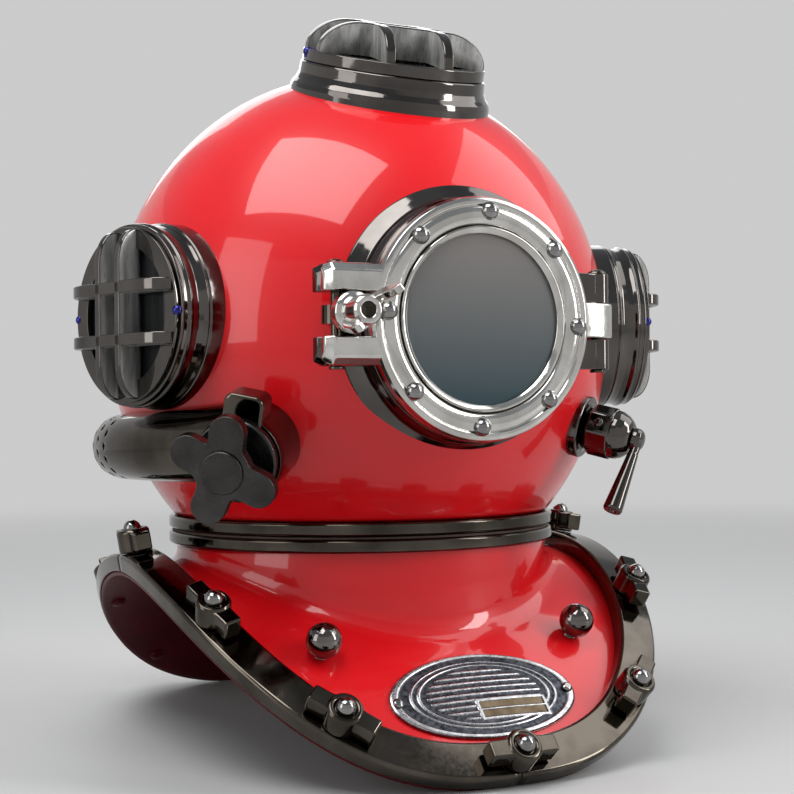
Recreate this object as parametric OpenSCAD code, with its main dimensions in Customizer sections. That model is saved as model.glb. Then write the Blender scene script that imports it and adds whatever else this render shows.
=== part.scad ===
// Hard-hat diving helmet: a spun dome with four windows on a saddle-shaped breastplate.
// Millimetres. Origin on the neck axis at the table, +Z up, -Y the face, +X the wearer's left.

/* [Dome] */
// Radius of the spun dome at its widest line
dome_r = 160; // [154:1:166]
// Height of the widest line above the table
dome_z = 250; // [247:1:254]
// Height of the crown above the widest line
dome_rise = 169; // [164:1:174]
// Thickness of the spun sheet of dome and breastplate
sheet = 2.5; // [2:0.1:3]

/* [Neck] */
// Outer radius of both neck rings
ring_r = 124; // [122:0.5:127]
// Radius of the opening that the head goes through
neck_r = 106; // [102:0.5:107]
// Height of each neck ring
ring_h = 7.8; // [7:0.1:9]
// Height of the joint between the two rings
joint_z = 129.2; // [128:0.1:131]
// Thickness of the leather washer in the joint
washer_t = 1.6; // [1:0.1:2.5]
// Outer radius of the breastplate's collar
collar_r = 119; // [118:0.5:120]

/* [Breastplate] */
// Half width of the stud line over the shoulders
stud_a = 149; // [146:0.5:152]
// Half depth of the stud line, front to back
stud_b = 188; // [184:0.5:192]
// Squareness of the stud line, 2 is an ellipse
stud_square = 2.45; // [2.2:0.05:2.7]
// Height of the saddle on the neck axis
saddle_z = 120.5; // [118:0.5:121]
// Fall of the saddle from the axis to the shoulder studs
side_drop = 12.5; // [9:0.5:15]
// Fall of the saddle from the axis to the front stud
front_drop = 112; // [108:0.5:113]
// How sharply the saddle falls away, 2 is a parabola
saddle_bend = 1.93; // [1.85:0.01:2]
// Radius of the sweep from collar to saddle
collar_sweep = 10; // [6:0.5:14]

/* [Straps and nuts] */
// Width of the clamping straps
strap_w = 23; // [20:0.5:26]
// Thickness of the clamping straps
strap_t = 10.5; // [9:0.5:12]
// Radius of the studs
stud_r = 5.4; // [4.5:0.1:6]
// Height of the wing nuts
nut_h = 14; // [12:0.5:16]
// Radius of the round boss of a wing nut
nut_r = 10; // [9:0.5:11]
// Length over both arms of a wing nut
nut_span = 40; // [36:1:44]
// Width of the arms of a wing nut
nut_arm = 10.5; // [8:0.5:12]

/* [Front window] */
// Height of the front window's centre
front_z = 252; // [250:0.5:254]
// Distance from the neck axis to the face of the door ring
door_face = 169; // [168:0.5:171]
// Outer radius of the door ring
door_r = 68.2; // [66:0.2:70]
// Thickness of the door ring
door_t = 10; // [9:0.5:11]
// Radius of the door's opening
door_hole = 47.5; // [45:0.5:49]
// Radius of the screw circle on the door ring
door_screw_r = 59.8; // [58:0.2:61]
// Number of screws on the door ring
door_screws = 8; // [6:1:10]
// Radius of the frame's foot on the dome
foot_r = 78; // [76:0.5:80]

/* [Side windows] */
// Height of the side windows' centres
side_z = 258; // [256:0.5:260]
// Angle of the side windows, from straight ahead
side_turn = 72; // [70:1:74]
// Outer radius of the side frames
side_r = 54; // [52:0.5:55]
// Distance from the neck axis to the side guards' rim
side_rim = 181; // [179:0.5:183]

/* [Top window] */
// Forward tilt of the top window
top_tilt = 18.5; // [16:0.5:20]
// Outer radius of the top frame's foot
top_r = 62.5; // [60:0.5:64]
// Distance from the dome's centre to the top guard's rim
top_rim = 180; // [179:0.5:182]

/* [Guards] */
// Height of the top guard's bars above its rim
guard_h = 20; // [17:0.5:22]
// Height of the side guards' bars above their rims
side_guard_h = 12; // [10:0.5:14]
// Thickness of the top guard's bars
bar_t = 6; // [5:0.5:7]
// Thickness of the side guards' level bars
level_bar_t = 7; // [6:0.5:8]
// Thickness of the side guards' upright bars
upright_bar_t = 5; // [4:0.5:6]
// Depth of the top guard's bars
bar_d = 14; // [10:0.5:15]

/* [Valves] */
// Height of the exhaust valve's axis where it meets the dome
valve_z = 186; // [184:0.5:187]
// Distance from the dome to the face of the handwheel's hub
valve_len = 67.3; // [66:0.1:70]
// Radius of the exhaust valve's body
valve_r = 24.5; // [23:0.5:26]
// Reach of the handwheel's lobes
wheel_r = 30.5; // [28:0.5:32]
// Height of the exhaust horn's centre line
horn_z = 182.5; // [181:0.5:183]
// Radius of the exhaust horn's tube
horn_r = 20; // [18:0.5:20.5]
// Radius of the spit cock's flange
cock_flange = 19; // [17:0.5:20]
// Length of the spit cock's lever
lever_len = 48; // [44:0.5:52]

/* [Fits] */
// Gap of a soldered or screwed seat
seat_gap = 0.2; // [0.1:0.05:0.3]
// Gap between bodies that move past each other
run_gap = 0.4; // [0.3:0.05:0.6]
// Radial clearance of a pin in its hole
pin_gap = 0.05; // [0.02:0.01:0.08]

/* [Hidden] */

$fn = 96;
ink = "#26262a";
nickel = "#b9b6ae";
paint = "#c8101a";
dark_paint = "#3a0608";

// The dome is an ellipse turned about the neck axis.
dome_steps = 26;
dome_low = joint_z + washer_t / 2 + run_gap + ring_h + seat_gap;
function dome_angle(z) = asin((z - dome_z) / dome_rise);
function dome_at(a, grow) = [(dome_r + grow) * cos(a), dome_z + (dome_rise + grow) * sin(a)];
function dome_line(grow) = let (a0 = dome_angle(dome_low))
    [for (i = [0 : dome_steps]) dome_at(a0 + (90 - a0) * i / dome_steps, grow)];
function dome_plan(z) = dome_r * sqrt(1 - pow((z - dome_z) / dome_rise, 2));

// The solid inside the dome, grown a little, which every fitting's foot is cut to.
module dome_plug(grow) {
    rotate_extrude($fn = 128)
        polygon(concat([[0, dome_low - 20], [dome_at(dome_angle(dome_low), grow)[0], dome_low - 20]],
            dome_line(grow)));
}

// Places its children with +Z outwards along a direction from a point at height z on the axis.
module facing(z, turn, lean) {
    translate([0, 0, z]) rotate([0, lean, turn]) children();
}
module front_seat() { facing(front_z, -90, 90) children(); }
module side_seat(side) { facing(side_z, -90 + side * side_turn, 90) children(); }
module top_seat() { facing(dome_z, -90, top_tilt) children(); }

// A ring turned from a list of [radius, height] points.
module turned(points) { rotate_extrude() polygon(points); }
module tube(r_out, r_in, low, high) {
    turned([[r_in, low], [r_out, low], [r_out, high], [r_in, high]]);
}

/* Breastplate */

collar_top = joint_z - washer_t / 2 - ring_h - seat_gap;
strap_lift = 0.35;
function saddle(x, y) = saddle_z - side_drop * pow(x / stud_a, 2)
    - front_drop * pow(abs(y) / stud_b, saddle_bend);
function rim_r(a, off) = pow(pow(abs(cos(a)) / (stud_a + off), stud_square)
    + pow(abs(sin(a)) / (stud_b + off), stud_square), -1 / stud_square);
function on_saddle(a, r) = [r * cos(a), r * sin(a), saddle(r * cos(a), r * sin(a))];
function unit(v) = v / norm(v);
function saddle_normal(x, y) = unit([2 * side_drop * x / pow(stud_a, 2),
    sign(y) * front_drop * saddle_bend / stud_b * pow(abs(y) / stud_b, saddle_bend - 1), 1]);

// The sheet runs down the collar, sweeps out and follows the saddle to its rim.
sheet_turns = 72;
sweep_steps = 4;
flat_steps = 7;
rim_lip = 0.8;
function sweep_at(a) = min(collar_sweep, 0.8 * (collar_top - on_saddle(a, collar_r)[2]));
function mix(p, q, t) = p * (1 - t) + q * t;
function sheet_pt(a, k) = let (f = sweep_at(a), low = on_saddle(a, collar_r),
        start = low + [0, 0, f], end = on_saddle(a, collar_r + f), t = (k - 1) / sweep_steps,
        s = (k - 1 - sweep_steps) / flat_steps, q = mix(end, strap_pt(a, [strap_w / 2 + rim_lip, 0]), s))
    k <= 0 ? [low[0], low[1], collar_top + k] :
    k <= 1 + sweep_steps ? mix(mix(start, low, t), mix(low, end, t), t) : [q[0], q[1], saddle(q[0], q[1])];
sheet_rows = 1 + sweep_steps + flat_steps;
function sheet_normal(a, k) = let (d = 0.5, e = 0.05)
    unit(cross(sheet_pt(a, min(sheet_rows, k + e)) - sheet_pt(a, k - e),
        sheet_pt(a + d, k) - sheet_pt(a - d, k)));
function sheet_back(a, k) = k == 0 ? sheet_pt(a, 0) - sheet * [cos(a), sin(a), 0] :
    sheet_pt(a, k) - sheet * sheet_normal(a, k);

// Joins rows of points, closed along each row, into a closed band of triangles.
function band_faces(turns, rows) = [for (i = [0 : turns - 1], k = [0 : rows - 1])
    let (j = (i + 1) % turns, m = (k + 1) % rows,
        a = i * rows + k, b = j * rows + k, c = j * rows + m, d = i * rows + m)
    each [[a, b, c], [a, c, d]]];

module breastplate_shell() {
    rows = 2 * (sheet_rows + 1);
    points = [for (i = [0 : sheet_turns - 1]) let (a = 360 * i / sheet_turns)
        each concat([for (k = [0 : sheet_rows]) sheet_pt(a, k)],
            [for (k = [sheet_rows : -1 : 0]) sheet_back(a, k)])];
    color(paint) difference() {
        polyhedron(points, band_faces(sheet_turns, rows), convexity = 6);
        translate([-stud_a, -2 * stud_b, -collar_r]) cube([2 * stud_a, 4 * stud_b, collar_r]);
        for (i = [0 : 11]) at_stud(i) translate([0, 0, -10]) cylinder(r = stud_r + seat_gap, h = 20);
        for (side = [-1, 1]) at_lanyard(side) translate([0, 0, -6])
            cylinder(r = lanyard_neck + seat_gap, h = 12);
    }
}

// Twelve studs: one each front, back and shoulder, two in each quarter.
stud_turns = [0, 35.5, 61];
function stud_angle(i) = 90 * floor(i / 3)
    + (floor(i / 3) % 2 == 0 ? stud_turns[i % 3] : (i % 3 == 0 ? 0 : 90 - stud_turns[3 - i % 3]));
function stud_foot(i) = on_saddle(stud_angle(i), rim_r(stud_angle(i), 0));

// Turns +Z to the saddle's normal and +X along the rim.
module on_sheet(foot, along) {
    n = saddle_normal(foot[0], foot[1]);
    turn = atan2(n[1], n[0]);
    lean = acos(n[2]);
    flat_x = [cos(lean) * cos(turn), cos(lean) * sin(turn), -sin(lean)];
    flat_y = [-sin(turn), cos(turn), 0];
    translate(foot) rotate([0, lean, turn]) rotate([0, 0, atan2(along * flat_y, along * flat_x)]) children();
}
function rim_along(a) = unit(on_saddle(a + 0.5, rim_r(a + 0.5, 0)) - on_saddle(a - 0.5, rim_r(a - 0.5, 0)));
module at_stud(i) { on_sheet(stud_foot(i), rim_along(stud_angle(i))) children(); }

strap_top = strap_lift + strap_t;
stud_head_r = 6.8;
stud_head_t = 1.8;
stud_head_gap = 0.5;
module brail_studs() {
    low = -sheet - stud_head_t - stud_head_gap;
    color(ink) for (i = [0 : 11]) at_stud(i) {
        translate([0, 0, low]) cylinder(r = stud_head_r, h = stud_head_t);
        translate([0, 0, low]) cylinder(r = stud_r, h = strap_top + nut_h - low);
        translate([0, 0, strap_top + nut_h]) intersection() {
            sphere(r = stud_r);
            cylinder(r = stud_r, h = stud_r);
        }
    }
}

// A block wing nut: a round boss with two square arms and a countersunk thread.
module brail_nut() {
    difference() {
        union() {
            cylinder(r = nut_r, h = nut_h);
            translate([-nut_span / 2, -nut_arm / 2, 2]) cube([nut_span, nut_arm, nut_h - 2]);
        }
        translate([0, 0, -1]) cylinder(r = stud_r + 0.1, h = nut_h + 2);
        translate([0, 0, nut_h - 1]) cylinder(r1 = stud_r + 0.1, r2 = stud_r + 1.3, h = 1.2);
    }
}
module brail_nuts() {
    color(ink) for (i = [0 : 11]) at_stud(i) translate([0, 0, strap_top + seat_gap]) brail_nut();
}

// One strap of a quarter of the rim, its section carried along the stud line.
strap_edge = 1.5;
strap_steps = 18;
function strap_section() = let (w = strap_w / 2, c = strap_edge)
    [[-w, 0], [w, 0], [w, strap_t - c], [w - c, strap_t], [c - w, strap_t], [-w, strap_t - c]];
function strap_pt(a, p) = let (c = on_saddle(a, rim_r(a, 0)), n = saddle_normal(c[0], c[1]),
        t = rim_along(a), out = cross(t, n))
    c + p[0] * out + (strap_lift + p[1]) * n;
module strap(a0, a1) {
    half_joint = 0.15;
    section = strap_section();
    rows = len(section);
    points = [for (i = [0 : strap_steps])
        let (a = mix(a0 + half_joint, a1 - half_joint, i / strap_steps))
        each [for (p = section) strap_pt(a, p)]];
    sides = [for (i = [0 : strap_steps - 1], k = [0 : rows - 1])
        let (m = (k + 1) % rows, a = i * rows + k, b = a + rows, c = (i + 1) * rows + m, d = i * rows + m)
        each [[a, c, b], [a, d, c]]];
    first = [[for (k = [0 : rows - 1]) rows - 1 - k]];
    last = [[for (k = [0 : rows - 1]) strap_steps * rows + k]];
    color(ink) difference() {
        polyhedron(points, concat(sides, first, last), convexity = 4);
        for (i = [0 : 11]) at_stud(i) cylinder(r = stud_r + 2 * seat_gap, h = 3 * strap_t);
    }
}
module brail_rear_left() { strap(0, 90); }
module brail_rear_right() { strap(90, 180); }
module brail_front_right() { strap(180, 270); }
module brail_front_left() { strap(270, 360); }

// Two ball studs on the breast, for the lanyards.
lanyard_r = 10.5;
lanyard_neck = 5;
lanyard_stand = 15;
lanyard_x = 81.5;
lanyard_y = -126;
module at_lanyard(side) {
    on_sheet([side * lanyard_x, lanyard_y, saddle(lanyard_x, lanyard_y)], [1, 0, 0]) children();
}
module lanyard_studs() {
    color(ink) for (side = [-1, 1]) at_lanyard(side) {
        translate([0, 0, -sheet - 2]) cylinder(r = lanyard_neck, h = 2 + sheet + lanyard_stand);
        translate([0, 0, lanyard_stand]) sphere(r = lanyard_r);
    }
}

// The oval plate is bent to the breastplate and held by two screws.
plate_w = 116;
plate_h = 52;
plate_t = 2;
plate_y = -156;
plate_x = 3;
function plate_pt(a, s, h) = let (x = plate_x + s * plate_w / 2 * cos(a),
        y = plate_y + s * plate_h / 2 * sin(a) * 0.78)
    [x, y, saddle(x, y)] + h * saddle_normal(x, y);
plate_turns = 48;
plate_rings = [0.3, 0.7, 1];
module data_plate() {
    n = plate_turns;
    rows = 2 * len(plate_rings);
    low = seat_gap;
    high = low + plate_t;
    rim = concat([for (s = plate_rings) [s, high]], [for (k = [2 : -1 : 0]) [plate_rings[k], low]]);
    points = concat([for (i = [0 : n - 1], p = rim) plate_pt(360 * i / n, p[0], p[1])],
        [plate_pt(0, 0, high), plate_pt(0, 0, low)]);
    sides = [for (i = [0 : n - 1], k = [0 : rows - 2]) let (a = i * rows + k, b = (i + 1) % n * rows + k)
        each [[a, b, b + 1], [a, b + 1, a + 1]]];
    caps = [for (i = [0 : n - 1]) let (j = (i + 1) % n)
        each [[n * rows, j * rows, i * rows], [i * rows + rows - 1, j * rows + rows - 1, n * rows + 1]]];
    color("#8a8a86") difference() {
        polyhedron(points, concat(sides, caps), convexity = 4);
        for (side = [-1, 1]) at_plate_screw(side) translate([0, 0, -1]) cylinder(r = 1.8, h = plate_t + 2);
    }
}
module at_plate_screw(side) {
    at = plate_pt(side > 0 ? 0 : 180, 0.93, 0);
    on_sheet(at, [1, 0, 0]) children();
}
module plate_screws() {
    color(nickel) for (side = [-1, 1]) at_plate_screw(side) {
        translate([0, 0, 0.1]) cylinder(r = 1.6, h = plate_t + 1);
        translate([0, 0, plate_t + 2 * seat_gap]) cylinder(r1 = 3.2, r2 = 2, h = 1.5);
    }
}

/* Neck */

// The rings hold together by four lugs each: a one-eighth turn frees them.
lug_in = 3.2;
lug_turn = 42;
skirt_r = neck_r + 3.4;
ring_low = joint_z - washer_t / 2 - ring_h;
module ring_section(low, bore) {
    c = 1.2;
    turned([[bore, low], [ring_r - c, low], [ring_r, low + c], [ring_r, low + ring_h - c],
        [ring_r - c, low + ring_h], [bore, low + ring_h]]);
}
module sector(r, low, high, turn) {
    rotate_extrude(angle = turn) translate([0, low]) square([r, high - low]);
}
lug_base_r = skirt_r + run_gap + lug_in + run_gap;
module breastplate_ring() {
    color(ink) {
        ring_section(ring_low, lug_base_r);
        for (k = [0 : 3]) rotate([0, 0, 90 * k - lug_turn / 2]) difference() {
            sector(lug_base_r + 0.5, ring_low + 3.5, ring_low + ring_h, lug_turn);
            translate([0, 0, ring_low]) cylinder(r = skirt_r + run_gap, h = 2 * ring_h);
        }
    }
}
module neck_washer() {
    color("#5a3a22") translate([0, 0, joint_z - washer_t / 2 + seat_gap / 2])
        difference() {
            cylinder(r = ring_r - 2, h = washer_t - seat_gap);
            translate([0, 0, -1]) cylinder(r = skirt_r + 2 * run_gap, h = washer_t + 2);
        }
}
module bonnet_ring() {
    low = joint_z + washer_t / 2 + run_gap;
    skirt_low = ring_low - 4;
    color(ink) {
        ring_section(low, neck_r);
        tube(skirt_r, neck_r, skirt_low, low + 1);
        for (k = [0 : 3]) rotate([0, 0, 90 * k - lug_turn / 2]) difference() {
            sector(skirt_r + lug_in, skirt_low, ring_low + 3.5 - run_gap, lug_turn);
            translate([0, 0, skirt_low - 1]) cylinder(r = skirt_r - 0.5, h = 2 * ring_h);
        }
    }
}

/* Bonnet */

spigot_in = 7.2;
spigot_wall = 7;
side_wall = 9;
top_wall = 12.5;
glass_ledge = 5;
front_spigot = door_r - spigot_in;
side_spigot = side_r - side_wall;
top_spigot = top_r - top_wall;
module bonnet_shell() {
    color(paint) difference() {
        rotate_extrude($fn = 128) polygon(concat(dome_line(0),
            [for (i = [dome_steps : -1 : 0]) let (p = dome_line(-sheet)[i]) [p[0], max(p[1], dome_low)]]));
        front_seat() translate([0, 0, 100]) cylinder(r = front_spigot + seat_gap, h = 80);
        for (side = [-1, 1]) side_seat(side) translate([0, 0, 100])
            cylinder(r = side_spigot + seat_gap, h = 80);
        top_seat() translate([0, 0, 100]) cylinder(r = top_spigot + seat_gap, h = 90);
        at_valve() translate([0, 0, -30]) cylinder(r = valve_bore + 2 + seat_gap, h = 60);
        at_cock() translate([0, 0, -20]) cylinder(r = cock_spigot + seat_gap, h = 40);
        at_cup() translate([0, 0, -25]) cylinder(r = cup_r - 6, h = 50);
        for (side = [-1, 1]) at_elbow(side) translate([0, 0, -20])
            cylinder(r = elbow_spigot + seat_gap, h = 40);
    }
}

// The front frame: a flared foot on the dome, hinge knuckles at one side and latch lugs at the other.
door_back = door_face - door_t;
frame_face = door_back - run_gap - 0.8;
hinge_x = 84;
hinge_back = 5.8;
hinge_d = frame_face - hinge_back;
hinge_rise = 1;
knuckle_r = 6.8;
hinge_r = 3.5;
door_knuckle = 20;
frame_knuckle = 17.5;
latch_x = 83;
latch_d = 152;
latch_rise = 1.5;
slot_half = 12;
lug_h = 15.5;
lug_deep = 10;
lug_end = 95;
latch_r = 3;
// Puts children upright, +Z up, at a place across and out from the front window's centre.
module beside_front(x, out, rise) { translate([x, -out, front_z + rise]) children(); }
module knuckle(low, high) {
    translate([0, 0, low]) cylinder(r = knuckle_r, h = high - low);
}
module front_frame() {
    flare = [[foot_r, 128], [foot_r, 141], [foot_r - 4, 144], [foot_r - 8, 147.5], [door_r + 1.2, 152],
        [door_r - 0.4, 155], [door_r - 0.4, frame_face], [front_spigot - spigot_wall, frame_face],
        [front_spigot - spigot_wall, 128]];
    bore = front_spigot - spigot_wall;
    color(ink) difference() {
        union() {
            difference() {
                union() {
                    front_seat() turned(flare);
                    hinge_ears();
                    fork_lugs(frame_face, frame_face - lug_deep);
                }
                dome_plug(seat_gap);
            }
            front_seat() tube(front_spigot, bore, frame_face - 21, frame_face);
        }
        beside_front(hinge_x, hinge_d, hinge_rise) cylinder(r = hinge_r, h = 90, center = true);
        beside_front(-latch_x, latch_d, latch_rise) cylinder(r = latch_r, h = 90, center = true);
        front_seat() translate([0, 0, 100]) cylinder(r = bore, h = 100);
    }
}
// Two knuckles on short arms, above and below the door's.
module hinge_ears() {
    arm_in = 8;
    arm_deep = 9;
    for (up = [-1, 1]) beside_front(0, 0, hinge_rise) {
        low = up > 0 ? door_knuckle / 2 + run_gap : -door_knuckle / 2 - run_gap - frame_knuckle;
        translate([hinge_x, -hinge_d, 0]) knuckle(low, low + frame_knuckle);
        translate([door_r - arm_in, -frame_face, low])
            cube([hinge_x - door_r + arm_in, arm_deep, frame_knuckle]);
    }
}
// Two lugs above and below the slot, bevelled at their outer ends and far edges.
module fork_lugs(face, back) {
    bevel = 4.5;
    near = door_r - 8;
    plan = [[-near, -face], [bevel - lug_end, -face], [-lug_end, bevel - face], [-lug_end, -back],
        [-near, -back]];
    high = slot_half + lug_h;
    side = [[-face, slot_half], [-face, high - bevel], [bevel - face, high], [-back, high],
        [-back, slot_half]];
    beside_front(0, 0, latch_rise) for (flip = [0, 1]) mirror([0, 0, flip]) intersection() {
        translate([0, 0, slot_half]) linear_extrude(lug_h) polygon(plan);
        translate([-2 * lug_end, 0, 0]) rotate([90, 0, 90]) linear_extrude(2 * lug_end) polygon(side);
    }
}
module headed_pin(r, half, head_r) {
    translate([0, 0, -half]) cylinder(r = r, h = 2 * half);
    translate([0, 0, half]) cylinder(r1 = head_r, r2 = head_r * 0.6, h = 2.4);
    translate([0, 0, -half - 1.6]) cylinder(r = head_r * 0.8, h = 1.6);
}
module hinge_pin() {
    half = door_knuckle / 2 + run_gap + frame_knuckle + seat_gap;
    color(ink) beside_front(hinge_x, hinge_d, hinge_rise) headed_pin(hinge_r - pin_gap, half, 5.6);
}
module latch_pin() {
    color(ink) beside_front(-latch_x, latch_d, latch_rise)
        headed_pin(latch_r - pin_gap, slot_half + lug_h + seat_gap, 5.2);
}

// The door: a rounded ring with a knuckle on one side and a slotted fork on the other.
bezel_r = 52;
glass_t = 5;
module door_ring() {
    face = door_face;
    low = door_back;
    c = 2.4;
    color(nickel) difference() {
        union() {
            front_seat() turned([[door_hole + 1, low], [door_r, low], [door_r, face - 2 * c],
                [door_r - c, face - 0.8], [door_r - 2 * c, face], [bezel_r + 1.4, face],
                [bezel_r + seat_gap, face - 1.2], [bezel_r + seat_gap, low + 2 - seat_gap],
                [door_hole + 1, low + 2 - seat_gap]]);
            beside_front(hinge_x, hinge_d, hinge_rise) difference() {
                union() {
                    knuckle(-door_knuckle / 2, door_knuckle / 2);
                    translate([door_r - hinge_x - 4, hinge_d - face + 2, -door_knuckle / 2])
                        cube([hinge_x - door_r + 4, face - 2 - low, door_knuckle]);
                    translate([-knuckle_r, hinge_d - face + 4, -door_knuckle / 2])
                        cube([2 * knuckle_r - 1, face - 4 - hinge_d, door_knuckle]);
                }
                cylinder(r = hinge_r, h = 40, center = true);
            }
            fork_lugs(face - 1, low);
        }
        front_seat() for (i = [0 : door_screws - 1]) rotate([0, 0, 360 * i / door_screws - 3])
            translate([door_screw_r, 0, low - 1]) cylinder(r = 2.5 + seat_gap, h = door_t + 2);
        front_seat() translate([0, 0, 100]) cylinder(r = door_hole + 1, h = 100);
        front_seat() translate([0, 0, low + 2 - seat_gap]) cylinder(r = bezel_r + seat_gap, h = 40);
    }
}
module frame_gasket() {
    color("#1c1c1c") front_seat() tube(front_spigot + 4, front_spigot - 5, frame_face + 0.1, door_back - 0.3);
}
module door_gasket() {
    color("#1c1c1c") front_seat()
        tube(bezel_r - 0.4, door_hole + 1.5, door_back + 2, door_back + 3);
}
module door_glass() {
    color("#3c4a50") front_seat() translate([0, 0, door_back + 3 + seat_gap / 2])
        cylinder(r = bezel_r - seat_gap, h = glass_t - 2);
}
module door_bezel() {
    low = door_back + 3 + glass_t - 2 + seat_gap;
    color(nickel) front_seat() turned([[door_hole, low], [bezel_r - 0.3, low], [bezel_r - 0.3, door_face - 1],
        [bezel_r - 1.3, door_face - 0.3], [door_hole + 1, door_face - 1.6]]);
}
module door_screw_set() {
    color(nickel) front_seat() for (i = [0 : door_screws - 1]) rotate([0, 0, 360 * i / door_screws - 3])
        translate([door_screw_r, 0, 0]) {
            translate([0, 0, door_back + 0.5]) cylinder(r = 2.5, h = door_t);
            translate([0, 0, door_face + seat_gap]) intersection() {
                translate([0, 0, -0.6]) sphere(r = 5.2);
                cylinder(r = 6, h = 6);
            }
        }
}

// The swing bolt turns on the latch pin and its wing nut draws the fork shut.
bolt_r = 4;
bolt_end = 188;
nut_low = door_face + run_gap;
nut_high = 195;
collar_nut_r = 11.2;
barrel_r = 8.2;
wing_reach = 15.2;
wing_angle = 42;
wing_out = 14;
module swing_bolt() {
    color(ink) difference() {
        union() {
            beside_front(-latch_x, latch_d, latch_rise) cylinder(r = 8, h = 10, center = true);
            beside_front(-latch_x, bolt_end, latch_rise) rotate([-90, 0, 0])
                cylinder(r = bolt_r, h = bolt_end - latch_d);
        }
        beside_front(-latch_x, latch_d, latch_rise) cylinder(r = latch_r, h = 30, center = true);
    }
}
module wing_nut() {
    tip = nut_high + wing_out;
    wing = [[barrel_r - 3, nut_low + 10], [barrel_r + 3, nut_low + 12], [wing_reach, nut_high - 4],
        [wing_reach, tip - 2], [wing_reach - 2.5, tip], [wing_reach - 5, tip - 2], [barrel_r - 1, nut_high - 3],
        [barrel_r - 3, nut_high - 4]];
    color(nickel) translate([-latch_x, 0, front_z + latch_rise]) rotate([0, 90, -90]) {
        turned([[bolt_r + pin_gap, nut_low], [collar_nut_r - 1, nut_low], [collar_nut_r, nut_low + 1],
            [collar_nut_r, nut_low + 7], [collar_nut_r - 1, nut_low + 8], [barrel_r - 1, nut_low + 9],
            [barrel_r, nut_low + 11], [barrel_r, nut_high - 1.5], [barrel_r - 1.5, nut_high],
            [bolt_r + pin_gap, nut_high]]);
        for (side = [0, 180]) rotate([0, 0, 90 + side + wing_angle])
            rotate([90, 0, 0]) linear_extrude(4.5, center = true) polygon(wing);
    }
}

/* Windows at the sides and top */

glass_seat = 6;
frame_tail = 41;
guard_edge = 2.5;
side_step = side_rim - guard_edge;
// Outer band on the dome, a ridge, a hollow band, a second ridge and the ring round the guard.
module side_frame(side) {
    face = side_step;
    color(ink) {
        difference() {
            side_seat(side) difference() {
                turned([[side_spigot - glass_ledge, face - frame_tail],
                    [side_r, face - frame_tail], [side_r, face - 19],
                    [side_r - 1, face - 18.2], [side_r - 0.4, face - 17.2], [side_r - 1.6, face - 15],
                    [side_r - 2.4, face - 11.5], [side_r - 2, face - 8], [side_r - 1, face - 6],
                    [side_r - 1.4, face - 4.9],
                    [side_r - 2.2, face - 4.3], [side_r - 2.2, face - 1.7], [side_r - 1.8, face - 1.2],
                    [side_r - 2.4, face], [side_spigot - 1, face], [side_spigot - 1, face - glass_seat],
                    [side_spigot - glass_ledge, face - glass_seat]]);
                guard_notches(side_guard_r, side_rim);
            }
            dome_plug(seat_gap);
        }
        side_seat(side) tube(side_spigot, side_spigot - glass_ledge, face - 35, face - 20);
    }
}
module side_frame_left() { side_frame(1); }
module side_frame_right() { side_frame(-1); }
module side_glass(side) {
    color("#3c4a50") side_seat(side) translate([0, 0, side_step - glass_seat + seat_gap])
        cylinder(r = side_spigot - 1 - seat_gap, h = glass_t);
}
module side_glass_left() { side_glass(1); }
module side_glass_right() { side_glass(-1); }

// A guard bar: its ends rise from the rim in quarter arcs, and its underside is hollowed by a flat arch.
guard_sink = 1.5;
guard_foot = 7;
bar_in = 0.4;
arch = 0.55;
module guard_bar(half, thick, rim, high, curve, under) {
    steps = 6;
    turns = [for (k = [0 : steps]) 90 * k / steps];
    low = rim - guard_sink;
    inner = half - guard_foot;
    outer_arc = [for (a = turns) [half - curve * (1 - cos(a)), rim + high * sin(a)]];
    inner_arc = [for (a = turns) [inner - inner * arch * (1 - cos(a)), low + (under + guard_sink) * sin(a)]];
    back = [for (k = [steps : -1 : 0]) k];
    rotate([90, 0, 0]) linear_extrude(thick, center = true) polygon(concat([[half, low]], outer_arc,
        [for (k = back) [-outer_arc[k][0], outer_arc[k][1]]], [[-half, low]],
        [for (p = inner_arc) [-p[0], p[1]]], [for (k = back) inner_arc[k]]));
}
// Two bars that run along X, at an equal offset to each side.
module guard_bars(rim_out, offset, thick, rim, high, curve, under) {
    for (side = [-1, 1]) translate([0, side * offset, 0])
        guard_bar(sqrt(pow(rim_out, 2) - pow(offset + thick / 2, 2)) - bar_in, thick, rim, high, curve, under);
}
screw_r = 3;
screw_in = 1.2;
screw_down = 1.9;
notch_deep = 5.3;
// The ball screws sit in notches at the two sides of the rim.
module guard_notches(rim_out, rim) {
    for (turn = [-90, 90]) rotate([0, 0, turn]) translate([rim_out - screw_in, 0, rim - notch_deep])
        cylinder(r = screw_r + seat_gap + 0.1, h = 2 * notch_deep);
}
module guard_balls(rim_out, rim) {
    for (turn = [-90, 90]) rotate([0, 0, turn])
        translate([rim_out - screw_in, 0, rim - notch_deep + seat_gap]) {
        cylinder(r = 2.2, h = notch_deep - screw_down);
        translate([0, 0, notch_deep - screw_down]) sphere(r = screw_r);
    }
}
side_bar_across = 9.8;
side_bar_along = 14.8;
bar_curve = 20;
side_guard_r = side_r - 4;
side_under = -1;
module side_guard(side) {
    color(ink) side_seat(side) difference() {
        union() {
            tube(side_guard_r, side_spigot - 6, side_step + seat_gap, side_rim);
            guard_bars(side_guard_r, side_bar_across, upright_bar_t, side_rim, side_guard_h, bar_curve,
                side_under);
            rotate([0, 0, 90])
                guard_bars(side_guard_r, side_bar_along, level_bar_t, side_rim, side_guard_h, bar_curve,
                    side_under);
        }
        guard_notches(side_guard_r, side_rim);
    }
}
module side_guard_left() { side_guard(1); }
module side_guard_right() { side_guard(-1); }

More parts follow.
